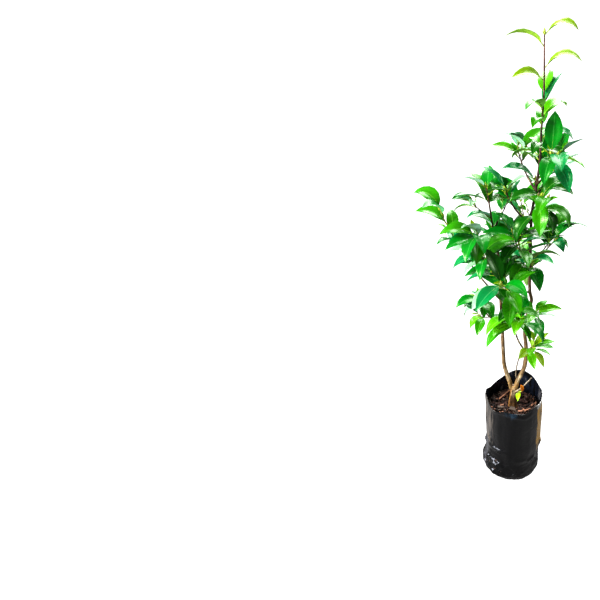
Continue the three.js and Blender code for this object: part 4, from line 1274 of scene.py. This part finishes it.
# %% Shape of the bag
FOLD_AZIMUTH = math.radians(5)
FOLD_REACH = 2.5  # how far the two side folds stand out at soil level
RIM_RADIUS = 65
RIM = (  # azimuth, height of each corner
    (-17, 248), (12, 254), (29, 256), (50, 271), (75, 277), (92, 273), (115, 258), (140, 241), (155, 239),
    (178, 252), (205, 246), (224, 228), (250, 240), (298, 236), (318, 248), (343, 248), (372, 254),
)
BAG_WALL = (
    # height, mean radius, centre along X
    (0, 50, 0), (1.2, 55, 0), (4, 60, 0), (12, 65.5, 0), (22, 69, 0), (40, 67.5, 0.5), (60, 64, 1.5),
    (110, 64.5, 3), (SOIL_LEVEL, 65, 1.5), (245, RIM_RADIUS, 0),
)
BAG_COLUMNS = 200
BAG_RISE = 130  # rows up the wall
BAG_BASE = 6  # rows across the base
ROWS_LOW = 1.25  # over 1, the rows crowd towards the foot, where most creases are
EASE = (-5, -2, 0, 2, 5)  # degrees over which a corner of the rim is eased


def bag_rim(azimuth):
    """The height of the rim, straight from corner to corner, with the corners a little eased."""
    turned = math.degrees(azimuth) % 360
    near = [np.interp((turned + step) % 360, *zip(*RIM)) for step in EASE]
    return float(np.mean(near))


print("the rim runs from", min(row[1] for row in RIM), "to", max(row[1] for row in RIM), "mm")

# %% Pressed folds and knots
KNOTS = (  # azimuth, height, reach of knotted creases
    (186, 94, 5.0), (354, 104, 4.0), (345, 70, 3.0),
)
KNOT_WIDTH, KNOT_RISE = 110, 90  # square millimetres
KNOT_LEAST, KNOT_CREASED = 0.35, 0.65  # shares of a knot that are even and creased
FOLDS = (
    # where a pressed fold starts and ends, as azimuth and height, and its reach
    (196, 97, 266, 106, 4.6), (196, 62, 252, 57, 4.8), (226, 52, 264, 50, 3.6), (218, 31, 248, 26, 4.0),
    (204, 80, 240, 83, 3.0), (306, 71, 332, 81, 3.4), (262, 78, 318, 75, 2.2), (192, 122, 228, 113, 2.6),
    (320, 42, 348, 53, 3.2),
)
FOLD_TOP, FOLD_SKIRT = 5, 11  # how far a fold runs out above and below its line
FOLD_WOBBLE = 3  # how far a fold strays from its line


def crease(value, sharp=5):
    """A sharp ridge where a smooth noise crosses zero."""
    return 1 - min(1, abs(value) * sharp)


def folds_push(azimuth, height):
    """How far the pressed folds push the film out: a steep top that shines, and a long skirt."""
    push = 0
    for start, low, end, high, reach_out in FOLDS:
        share = (math.degrees(azimuth) % 360 - start) / (end - start)
        if 0 < share < 1:
            wobble = FOLD_WOBBLE * noise.noise((azimuth * 6, low / 9, 1))
            above = height - low - (high - low) * share - wobble
            near = math.exp(-((above / (FOLD_TOP if above > 0 else FOLD_SKIRT)) ** 2))
            push += reach_out * near * math.sin(math.pi * share)
    return push


def knots_push(azimuth, height, radius):
    """How far the knotted creases push the film out."""
    push = 0
    for knot_azimuth, knot_height, reach_out in KNOTS:
        aside = math.remainder(azimuth - math.radians(knot_azimuth), 2 * math.pi) * (radius + push)
        near = math.exp(-(aside**2) / KNOT_WIDTH - (height - knot_height) ** 2 / KNOT_RISE)
        creased = crease(noise.noise((aside / 6, height / 5, knot_height)), 3)
        push += near * reach_out * (KNOT_LEAST + KNOT_CREASED * creased)
    return push


print("pressed folds:", len(FOLDS), "knots:", len(KNOTS))

# %% Creases and the slack rim
CREASED_SIDE = math.radians(215)  # most creases are at this azimuth
CREASED_HEIGHT, CREASED_SPREAD = 36, 800
LONG_CREASE, LONG_CREASE_SIDE = 1.8, 3.0  # how far they stand out all round, and there
SHORT_CREASE, SHORT_CREASE_SIDE = 0.6, 1.8
PLEAT, PLEATS_FROM, PLEATS_RISE = 1.7, 70, 60
SLOW_WAVE, HANGING_WAVE = 1.8, 0.8
LIP, LIP_BELOW, LIP_SLANT, LIP_SPREAD = 2.4, 9, 10, 5  # the bulge under the rim in front
GATHER, GATHER_HEIGHT = 2.2, 16  # how the film is drawn together at its foot
FOOT_HEIGHT, FOOT_INSET = 9, 1.2


def creases_push(x, y, azimuth, height):
    """How far the creases round the foot push the film out, most at the left in front."""
    side = max(0, math.cos(azimuth - CREASED_SIDE)) ** 2
    low = math.exp(-((height - CREASED_HEIGHT) ** 2) / CREASED_SPREAD)
    long = crease(noise.noise((x * 2.6 + 5, y * 2.6, height / 24 + azimuth * 0.5)))
    short = crease(noise.noise((x * 5 + 2, y * 5, height / 13 - azimuth)))
    long *= LONG_CREASE + LONG_CREASE_SIDE * side
    short *= SHORT_CREASE + SHORT_CREASE_SIDE * side
    return low * (long + short)


def pleats_push(x, y, fold, height):
    """How far the hanging pleats of the two side folds stand out."""
    rising = min(1, max(0, height - PLEATS_FROM) / PLEATS_RISE)
    pleats = crease(noise.noise((x * 9, y * 9, height / 160 + 3)), 3)
    return PLEAT * pleats * max(0, fold) ** 8 * rising


def rim_push(x, y, azimuth, height):
    """How far the film bulges under its rim in front, and how the slack rim strays."""
    rim = bag_rim(azimuth)
    front = max(0, -math.sin(azimuth + 0.08)) ** 3
    lip = LIP * front * math.exp(-(((height - rim + LIP_BELOW + LIP_SLANT * x) / LIP_SPREAD) ** 2))
    slack = max(0, height - SOIL_LEVEL) / (rim - SOIL_LEVEL + 1)
    return lip + slack * noise.noise((x * 2.4, y * 2.4, 5))


def foot_push(x, y, height):
    """How the gathered foot strays, and how far it is drawn in."""
    foot = min(1, height / FOOT_HEIGHT)
    gather = (1 - min(1, height / GATHER_HEIGHT)) * noise.noise((x * 8, y * 8, 2)) * GATHER
    return foot * (gather - FOOT_INSET)


deepest = LONG_CREASE + LONG_CREASE_SIDE + SHORT_CREASE + SHORT_CREASE_SIDE
print("creases stand out up to", round(deepest, 1), "mm")


# %% Points of the bag
def bag_point(azimuth, height, inset=0):
    """A point on the outside of the film, pushed by its folds and creases, or further in."""
    heights, radii, centres = zip(*BAG_WALL)
    x, y = math.cos(azimuth), math.sin(azimuth)
    fold = math.cos(2 * (azimuth - FOLD_AZIMUTH))
    radius = float(np.interp(height, heights, radii))
    radius += FOLD_REACH * fold * min(height, SOIL_LEVEL) / SOIL_LEVEL
    radius += noise.noise((x * 1.3, y * 1.3, height / 70)) * SLOW_WAVE
    radius += noise.noise((x * 5, y * 5, height / 120 + 9)) * HANGING_WAVE
    radius += creases_push(x, y, azimuth, height) + pleats_push(x, y, fold, height)
    radius += knots_push(azimuth, height, radius)
    radius += folds_push(azimuth, height) + rim_push(x, y, azimuth, height) + foot_push(x, y, height) - inset
    return (float(np.interp(height, heights, centres)) + radius * x, radius * y, height)


def bag_place(u, v):
    """The grid's first rows go out from the middle of the base, the others up the wall."""
    azimuth = 2 * math.pi * u + math.pi / 2
    row = v * (BAG_RISE + BAG_BASE)
    if row < BAG_BASE:
        reach_in = BAG_WALL[0][1] * row / BAG_BASE
        return (reach_in * math.cos(azimuth), reach_in * math.sin(azimuth), 0)
    return bag_point(azimuth, bag_rim(azimuth) * ((row - BAG_BASE) / BAG_RISE) ** ROWS_LOW)


front_film = bag_point(-math.pi / 2, SOIL_LEVEL)
print("the film in front at soil level is at", *(round(value, 1) for value in front_film))

# %% [markdown]
# ## Polythene film
# Blown polythene is black, thin and glossy, with a bloom that hangs in streaks and small
# crinkles that catch the light. Its shine on the side folds and under the rim is painted
# reflection, laid into the base colour. Painting it on an image would tie it to one unwrapping.
# So each painted reflection is a plain colour between bounds along the axes, and its edge is
# frayed by the same streaks as the bloom.

# %% Outer film
HANGING = 0.12  # under 1, it draws a pattern out downwards
BLOOM, STREAK, SMEAR, CRINKLE = 14.3, 7.7, 29.4, 22.2  # widths in millimetres
BLOOM_TONES = ((0.35, "#050506"), (0.6, "#0c0c0d"), (0.78, "#1b1a19"))
GLOSSIEST, DULLEST = 0.09, 0.26  # roughness
polythene, tree, shader = material("polythene film, black, blown", IOR=1.5, Specular_IOR_Level=0.4)
where = add(tree, "ShaderNodeTexCoord").outputs["Object"]
hung = add(tree, "ShaderNodeMapping", {"Vector": where, "Scale": (1, 1, HANGING)}).outputs[0]
bloom, streaks, smear = (
    add(tree, "ShaderNodeTexNoise", {"Vector": hung, "Scale": scale_of(size), "Detail": detail}).outputs[0]
    for size, detail in ((BLOOM, 5), (STREAK, 3), (SMEAR, 3))
)
bloom_and_reflections = ramp(tree, bloom, BLOOM_TONES)
gloss = add(tree, "ShaderNodeMapRange", {"Value": smear, "From Min": 0.3, "From Max": 0.7,
            "To Min": GLOSSIEST, "To Max": DULLEST}).outputs[0]
tree.links.new(gloss, shader.inputs["Roughness"])
crinkle = add(tree, "ShaderNodeTexNoise",
              {"Vector": where, "Scale": scale_of(CRINKLE), "Detail": 3, "Distortion": 1.6}).outputs[0]
bump = add(tree, "ShaderNodeBump", {"Height": crinkle, "Strength": 0.5, "Distance": 0.0025})
tree.links.new(bump.outputs["Normal"], shader.inputs["Normal"])
print("streaks", STREAK, "mm wide and", round(STREAK / HANGING), "mm long")

# %% Painted reflections on the film
# Painted reflections, laid into the film's colour: beige-grey streaks down the left-hand fold,
# grey low on the left, gold down the right-hand fold, light grey at the right-hand rim, and a
# bluish sheen under the rim in front.
FRAY = 0.7  # how much of an edge the streaks may fray
PAINTED_REFLECTIONS = (
    # colour, the streaks in it, and where it is clear and where it is thick along an axis
    ("#544d46", (0.36, 0.62), (("X", -20, -52), ("Y", 16, -16), ("Z", 50, 120))),
    ("#3c3c40", (0.34, 0.54), (("X", -40, -62), ("Y", 16, -12), ("Z", 145, 105))),
    ("#b0862f", (0.34, 0.50), (("X", 44, 58), ("Y", -52, -28), ("Y", 30, 0), ("Z", 40, 120))),
    ("#a8a6a2", (0.28, 0.44), (("X", 44, 58), ("Y", 30, 8), ("Z", 222, 238))),
    ("#1d2f3c", (0.10, 0.60), (("X", -34, -2), ("X", 18, 8), ("Y", -50, -58), ("Z", 212, 230))),
)
place_parts = add(tree, "ShaderNodeSeparateXYZ", {"Vector": where}).outputs
for colour, (least, most), spans in PAINTED_REFLECTIONS:
    near = 1.0
    for axis, clear, thick in spans:
        nearer = add(tree, "ShaderNodeMapRange",
                     {"Value": place_parts[axis], "From Min": clear * MM, "From Max": thick * MM}).outputs[0]
        near = add(tree, "ShaderNodeMath", {0: nearer, 1: near}, operation="MULTIPLY").outputs[0]
    level = add(tree, "ShaderNodeMath", {0: near, 1: FRAY, 2: streaks}, operation="MULTIPLY_ADD").outputs[0]
    cover = add(tree, "ShaderNodeMapRange",
                {"Value": level, "From Min": least + FRAY, "From Max": most + FRAY}).outputs[0]
    bloom_and_reflections = add(tree, "ShaderNodeMix", {"Factor": cover, "A": bloom_and_reflections, "B": linear(colour)},
               data_type="RGBA").outputs["Result"]
tree.links.new(bloom_and_reflections, shader.inputs["Base Color"])
print("patches of painted reflection:", len(PAINTED_REFLECTIONS))

# %% Inner film
# The inner side is cleaner and mirrors the sky. Its streaks, from near black through navy to
# grey, are painted reflection and sheen laid into the base colour.
PAINTED_REFLECTION_WIDTH = 16.7  # width in millimetres
PAINTED_REFLECTION_TONES = ((0.42, "#060708"), (0.58, "#141a26"), (0.72, "#5e5c5b"))
inner_film, tree, shader = material("polythene film, black, inner side", Roughness=0.25,
                                    Specular_IOR_Level=0.4)
where = add(tree, "ShaderNodeTexCoord").outputs["Object"]
hung = add(tree, "ShaderNodeMapping", {"Vector": where, "Scale": (1, 1, 0.3)}).outputs[0]
painted_reflection_streaks = add(tree, "ShaderNodeTexNoise",
              {"Vector": hung, "Scale": scale_of(PAINTED_REFLECTION_WIDTH), "Detail": 3, "Distortion": 0.6}).outputs[0]
tree.links.new(ramp(tree, painted_reflection_streaks, PAINTED_REFLECTION_TONES), shader.inputs["Base Color"])
print("film:", polythene.name, "/", inner_film.name)

# %% Bag
FILM_THICKNESS = 0.9 * MM
bm = bmesh.new()
skin(bm, BAG_COLUMNS, BAG_RISE + BAG_BASE, bag_place, closed=False)
bag = finished(bm, "bag_film", polythene, inner_film)
film_wall = bag.modifiers.new("film", "SOLIDIFY")
film_wall.thickness = FILM_THICKNESS
film_wall.offset = -1
film_wall.material_offset = 1
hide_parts("bag")
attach(bag, "root")

# %% [markdown]
# ## Potting mix
# The bag is filled with damp, dark composted bark. Only its crumbly top shows, but a lid
# would leave the bag hollow when it is taken apart, so the mix is one closed skin: up the
# inside of the film and over a rough top that rises a little to the trunk.

# %% Shape of the mix
MIX_COLUMNS = 72
MIX_INSET = 2.2  # from the outside of the film
MIX_WALL = 16  # rows up its wall
MIX_TOP = 36  # rows over its top
MIX_FOOT = 6  # height of its underside
MIX_BELOW = 2.5  # how far its top lies below the soil level at the film
LUMP_HEIGHT, LUMP_WIDTH = 2.4, 9
CRUMB_HEIGHT, CRUMB_WIDTH = 1.2, 3.5
MOUND_RADIUS = 20  # round the foot of the trunk


def mix_place(u, v):
    """The grid's first rows go up the wall of the mix, the others in to the middle of its top."""
    azimuth = 2 * math.pi * u
    row = round(v * (MIX_WALL + MIX_TOP + 1))
    if row <= MIX_WALL:
        height = MIX_FOOT + (SOIL_LEVEL - MIX_FOOT) * max(0, row - 1) / MIX_WALL
        return bag_point(azimuth, height, MIX_INSET) if row else (0, 0, MIX_FOOT)
    x, y, _ = bag_point(azimuth, SOIL_LEVEL, MIX_INSET)
    share = (MIX_WALL + MIX_TOP + 1 - row) / MIX_TOP
    x, y = x * share, y * share
    lumps = noise.noise((x / LUMP_WIDTH, y / LUMP_WIDTH, 1)) * LUMP_HEIGHT
    crumbs = noise.noise((x / CRUMB_WIDTH, y / CRUMB_WIDTH, 7)) * CRUMB_HEIGHT
    mound = MIX_BELOW * (math.exp(-((math.hypot(x, y) / MOUND_RADIUS) ** 2)) - 1)
    return (x, y, SOIL_LEVEL + lumps + crumbs + mound)


print("the mix stands", MIX_FOOT, "mm over the ground and fills the bag to", SOIL_LEVEL, "mm")

# %% Potting mix
# Composted bark is matt, in browns that change from crumb to crumb.
CRUMB = 3.1  # width in millimetres
CRUMB_TONES = ((0.3, "#120b08"), (0.52, "#33221a"), (0.75, "#5c4133"))
mix, tree, shader = material("potting mix, damp", Roughness=0.95)
where = add(tree, "ShaderNodeTexCoord").outputs["Object"]
crumb = add(tree, "ShaderNodeTexNoise", {"Vector": where, "Scale": scale_of(CRUMB), "Detail": 6}).outputs[0]
tree.links.new(ramp(tree, crumb, CRUMB_TONES), shader.inputs["Base Color"])
bump = add(tree, "ShaderNodeBump", {"Height": crumb, "Strength": 0.8, "Distance": 0.003})
tree.links.new(bump.outputs["Normal"], shader.inputs["Normal"])
bm = bmesh.new()
skin(bm, MIX_COLUMNS, MIX_WALL + MIX_TOP + 1, mix_place)
mix_piece = finished(bm, "potting_mix_top", mix)
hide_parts("potting_mix")
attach(mix_piece, "root")

# %% [markdown]
# ## Bark chips
# A mulch of pine bark lies on the mix, most of it dark, with a few pale broken faces. A bump
# could not give the chips their shadows, so each is a small box, stretched, tapered and
# thrown down by a seed. The few large ones have places of their own. Chips are joined by
# colour.

# %% Kinds of chips
CHIP_TINTS = {
    "dark": "#24140f", "umber": "#4c3027", "rosy": "#b98468", "grey": "#75665c", "gold": "#d89c50",
}
CHIP_SHARES = (0.48, 0.86, 0.92, 0.99, 1.0)  # of all chips, added up in the order of the tints
LARGE_CHIPS = (
    # tint, place over the mix, length, width, thickness, turn and tip in degrees
    ("umber", (-19, 38, 4), (28, 13, 3), 55, 8), ("rosy", (-22, 29, 7), (42, 2.2, 2), 53, -4),
    ("gold", (-9, -9, 31), (50, 3, 2), 0, -85), ("grey", (-1.5, -18, 7), (19, 14, 3), 90, 24),
    ("rosy", (17, -22, 4), (10, 5, 2.4), 20, 6), ("rosy", (27, -17, 4), (9, 5, 2.2), -30, -8),
    ("rosy", (36, -13, 4), (11, 4, 2), 35, 5), ("rosy", (44, 4, 4), (10, 4, 2), 60, 9),
    ("rosy", (52, 12, 4), (9, 4, 2), 70, -6), ("grey", (-30, -14, 4), (14, 7, 2.4), 10, 7),
    ("umber", (24, 14, 4), (18, 9, 3), -20, -9),
)
GRAIN = 1.43  # width in millimetres
GRAIN_TONES = ((0.3, "#6a6a6a"), (0.7, "#ffffff"))


def chip_material(name, colour):
    """Pine bark: corky and matt, with a fine grain."""
    made, tree, shader = material(name, Roughness=0.85)
    where = add(tree, "ShaderNodeTexCoord").outputs["Object"]
    grain = add(tree, "ShaderNodeTexNoise",
                {"Vector": where, "Scale": scale_of(GRAIN), "Detail": 4}).outputs[0]
    tone = ramp(tree, grain, GRAIN_TONES)
    mixed = add(tree, "ShaderNodeMix", {"Factor": 0.8, "A": linear(colour), "B": tone},
                data_type="RGBA", blend_type="MULTIPLY")
    tree.links.new(mixed.outputs["Result"], shader.inputs["Base Color"])
    return made


print("large chips:", len(LARGE_CHIPS))

# %% Bark chips
CHIPS = 520
CHIP_FROM, CHIP_SPAN = 9, 49  # from the middle
CHIP_LENGTH, CHIP_LENGTH_SPAN = 4, 9
CHIP_WIDTH, CHIP_WIDTH_SPAN = 2, 3
CHIP_THICK, CHIP_THICK_SPAN = 1.2, 1.2
CHIP_OVER, CHIP_OVER_SPAN = 0.5, 2.5  # over the soil level
CHIP_NARROW = 0.65  # width of one end as a share of the other's
CHIP_KNOCK = 0.22  # how far a corner is knocked about, in lengths
CHIP_SEED, LARGE_SEED = 9, 5000
FULL_TURN = 6.28  # radians


def chip(bm, place, sizes, turn, tip, seed):
    """One chip: a box, narrowed at one end, with its corners knocked about."""
    verts = bmesh.ops.create_cube(bm, size=1)["verts"]
    for k, vert in enumerate(verts):
        if vert.co.x > 0:
            vert.co.y *= CHIP_NARROW
        vert.co += Vector([CHIP_KNOCK * (jitter(seed + k, axis) - 0.5) for axis in range(3)])
    bmesh.ops.scale(bm, verts=verts, vec=Vector(sizes) * MM)
    thrown = Matrix.Rotation(turn, 4, "Z") @ Matrix.Rotation(tip, 4, "Y")
    bmesh.ops.transform(bm, verts=verts, matrix=Matrix.Translation(Vector(place) * MM) @ thrown)


chips = {tint: bmesh.new() for tint in CHIP_TINTS}
for n in range(CHIPS):
    luck, round_share, out, long, wide, over, thick, turn, tip = (jitter(n, draw) for draw in range(1, 10))
    tint = next(name for name, share in zip(CHIP_TINTS, CHIP_SHARES) if luck <= share)
    azimuth = 2 * math.pi * round_share
    radius = CHIP_FROM + CHIP_SPAN * math.sqrt(out)
    height = SOIL_LEVEL + CHIP_OVER + CHIP_OVER_SPAN * over
    place = (radius * math.cos(azimuth), radius * math.sin(azimuth), height)
    sizes = (CHIP_LENGTH + CHIP_LENGTH_SPAN * long**2, CHIP_WIDTH + CHIP_WIDTH_SPAN * wide,
             CHIP_THICK + CHIP_THICK_SPAN * thick)
    chip(chips[tint], place, sizes, FULL_TURN * turn, tip - 0.5, CHIP_SEED * n)
for n, (tint, (x, y, over), sizes, turn, tip) in enumerate(LARGE_CHIPS):
    turned, tipped = math.radians(turn), math.radians(tip)
    chip(chips[tint], (x, y, SOIL_LEVEL + over), sizes, turned, tipped, LARGE_SEED + CHIP_SEED * n)
for tint, bm in chips.items():
    made = finished(bm, f"chips_{tint}", chip_material(f"pine bark chip, {tint}", CHIP_TINTS[tint]))
    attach(made, "root")

# %% Finish
sizes = {"cad": cad_box, "visual": [list(corner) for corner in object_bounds()]}
print("box of the solids and of the dressed plant:", sizes)
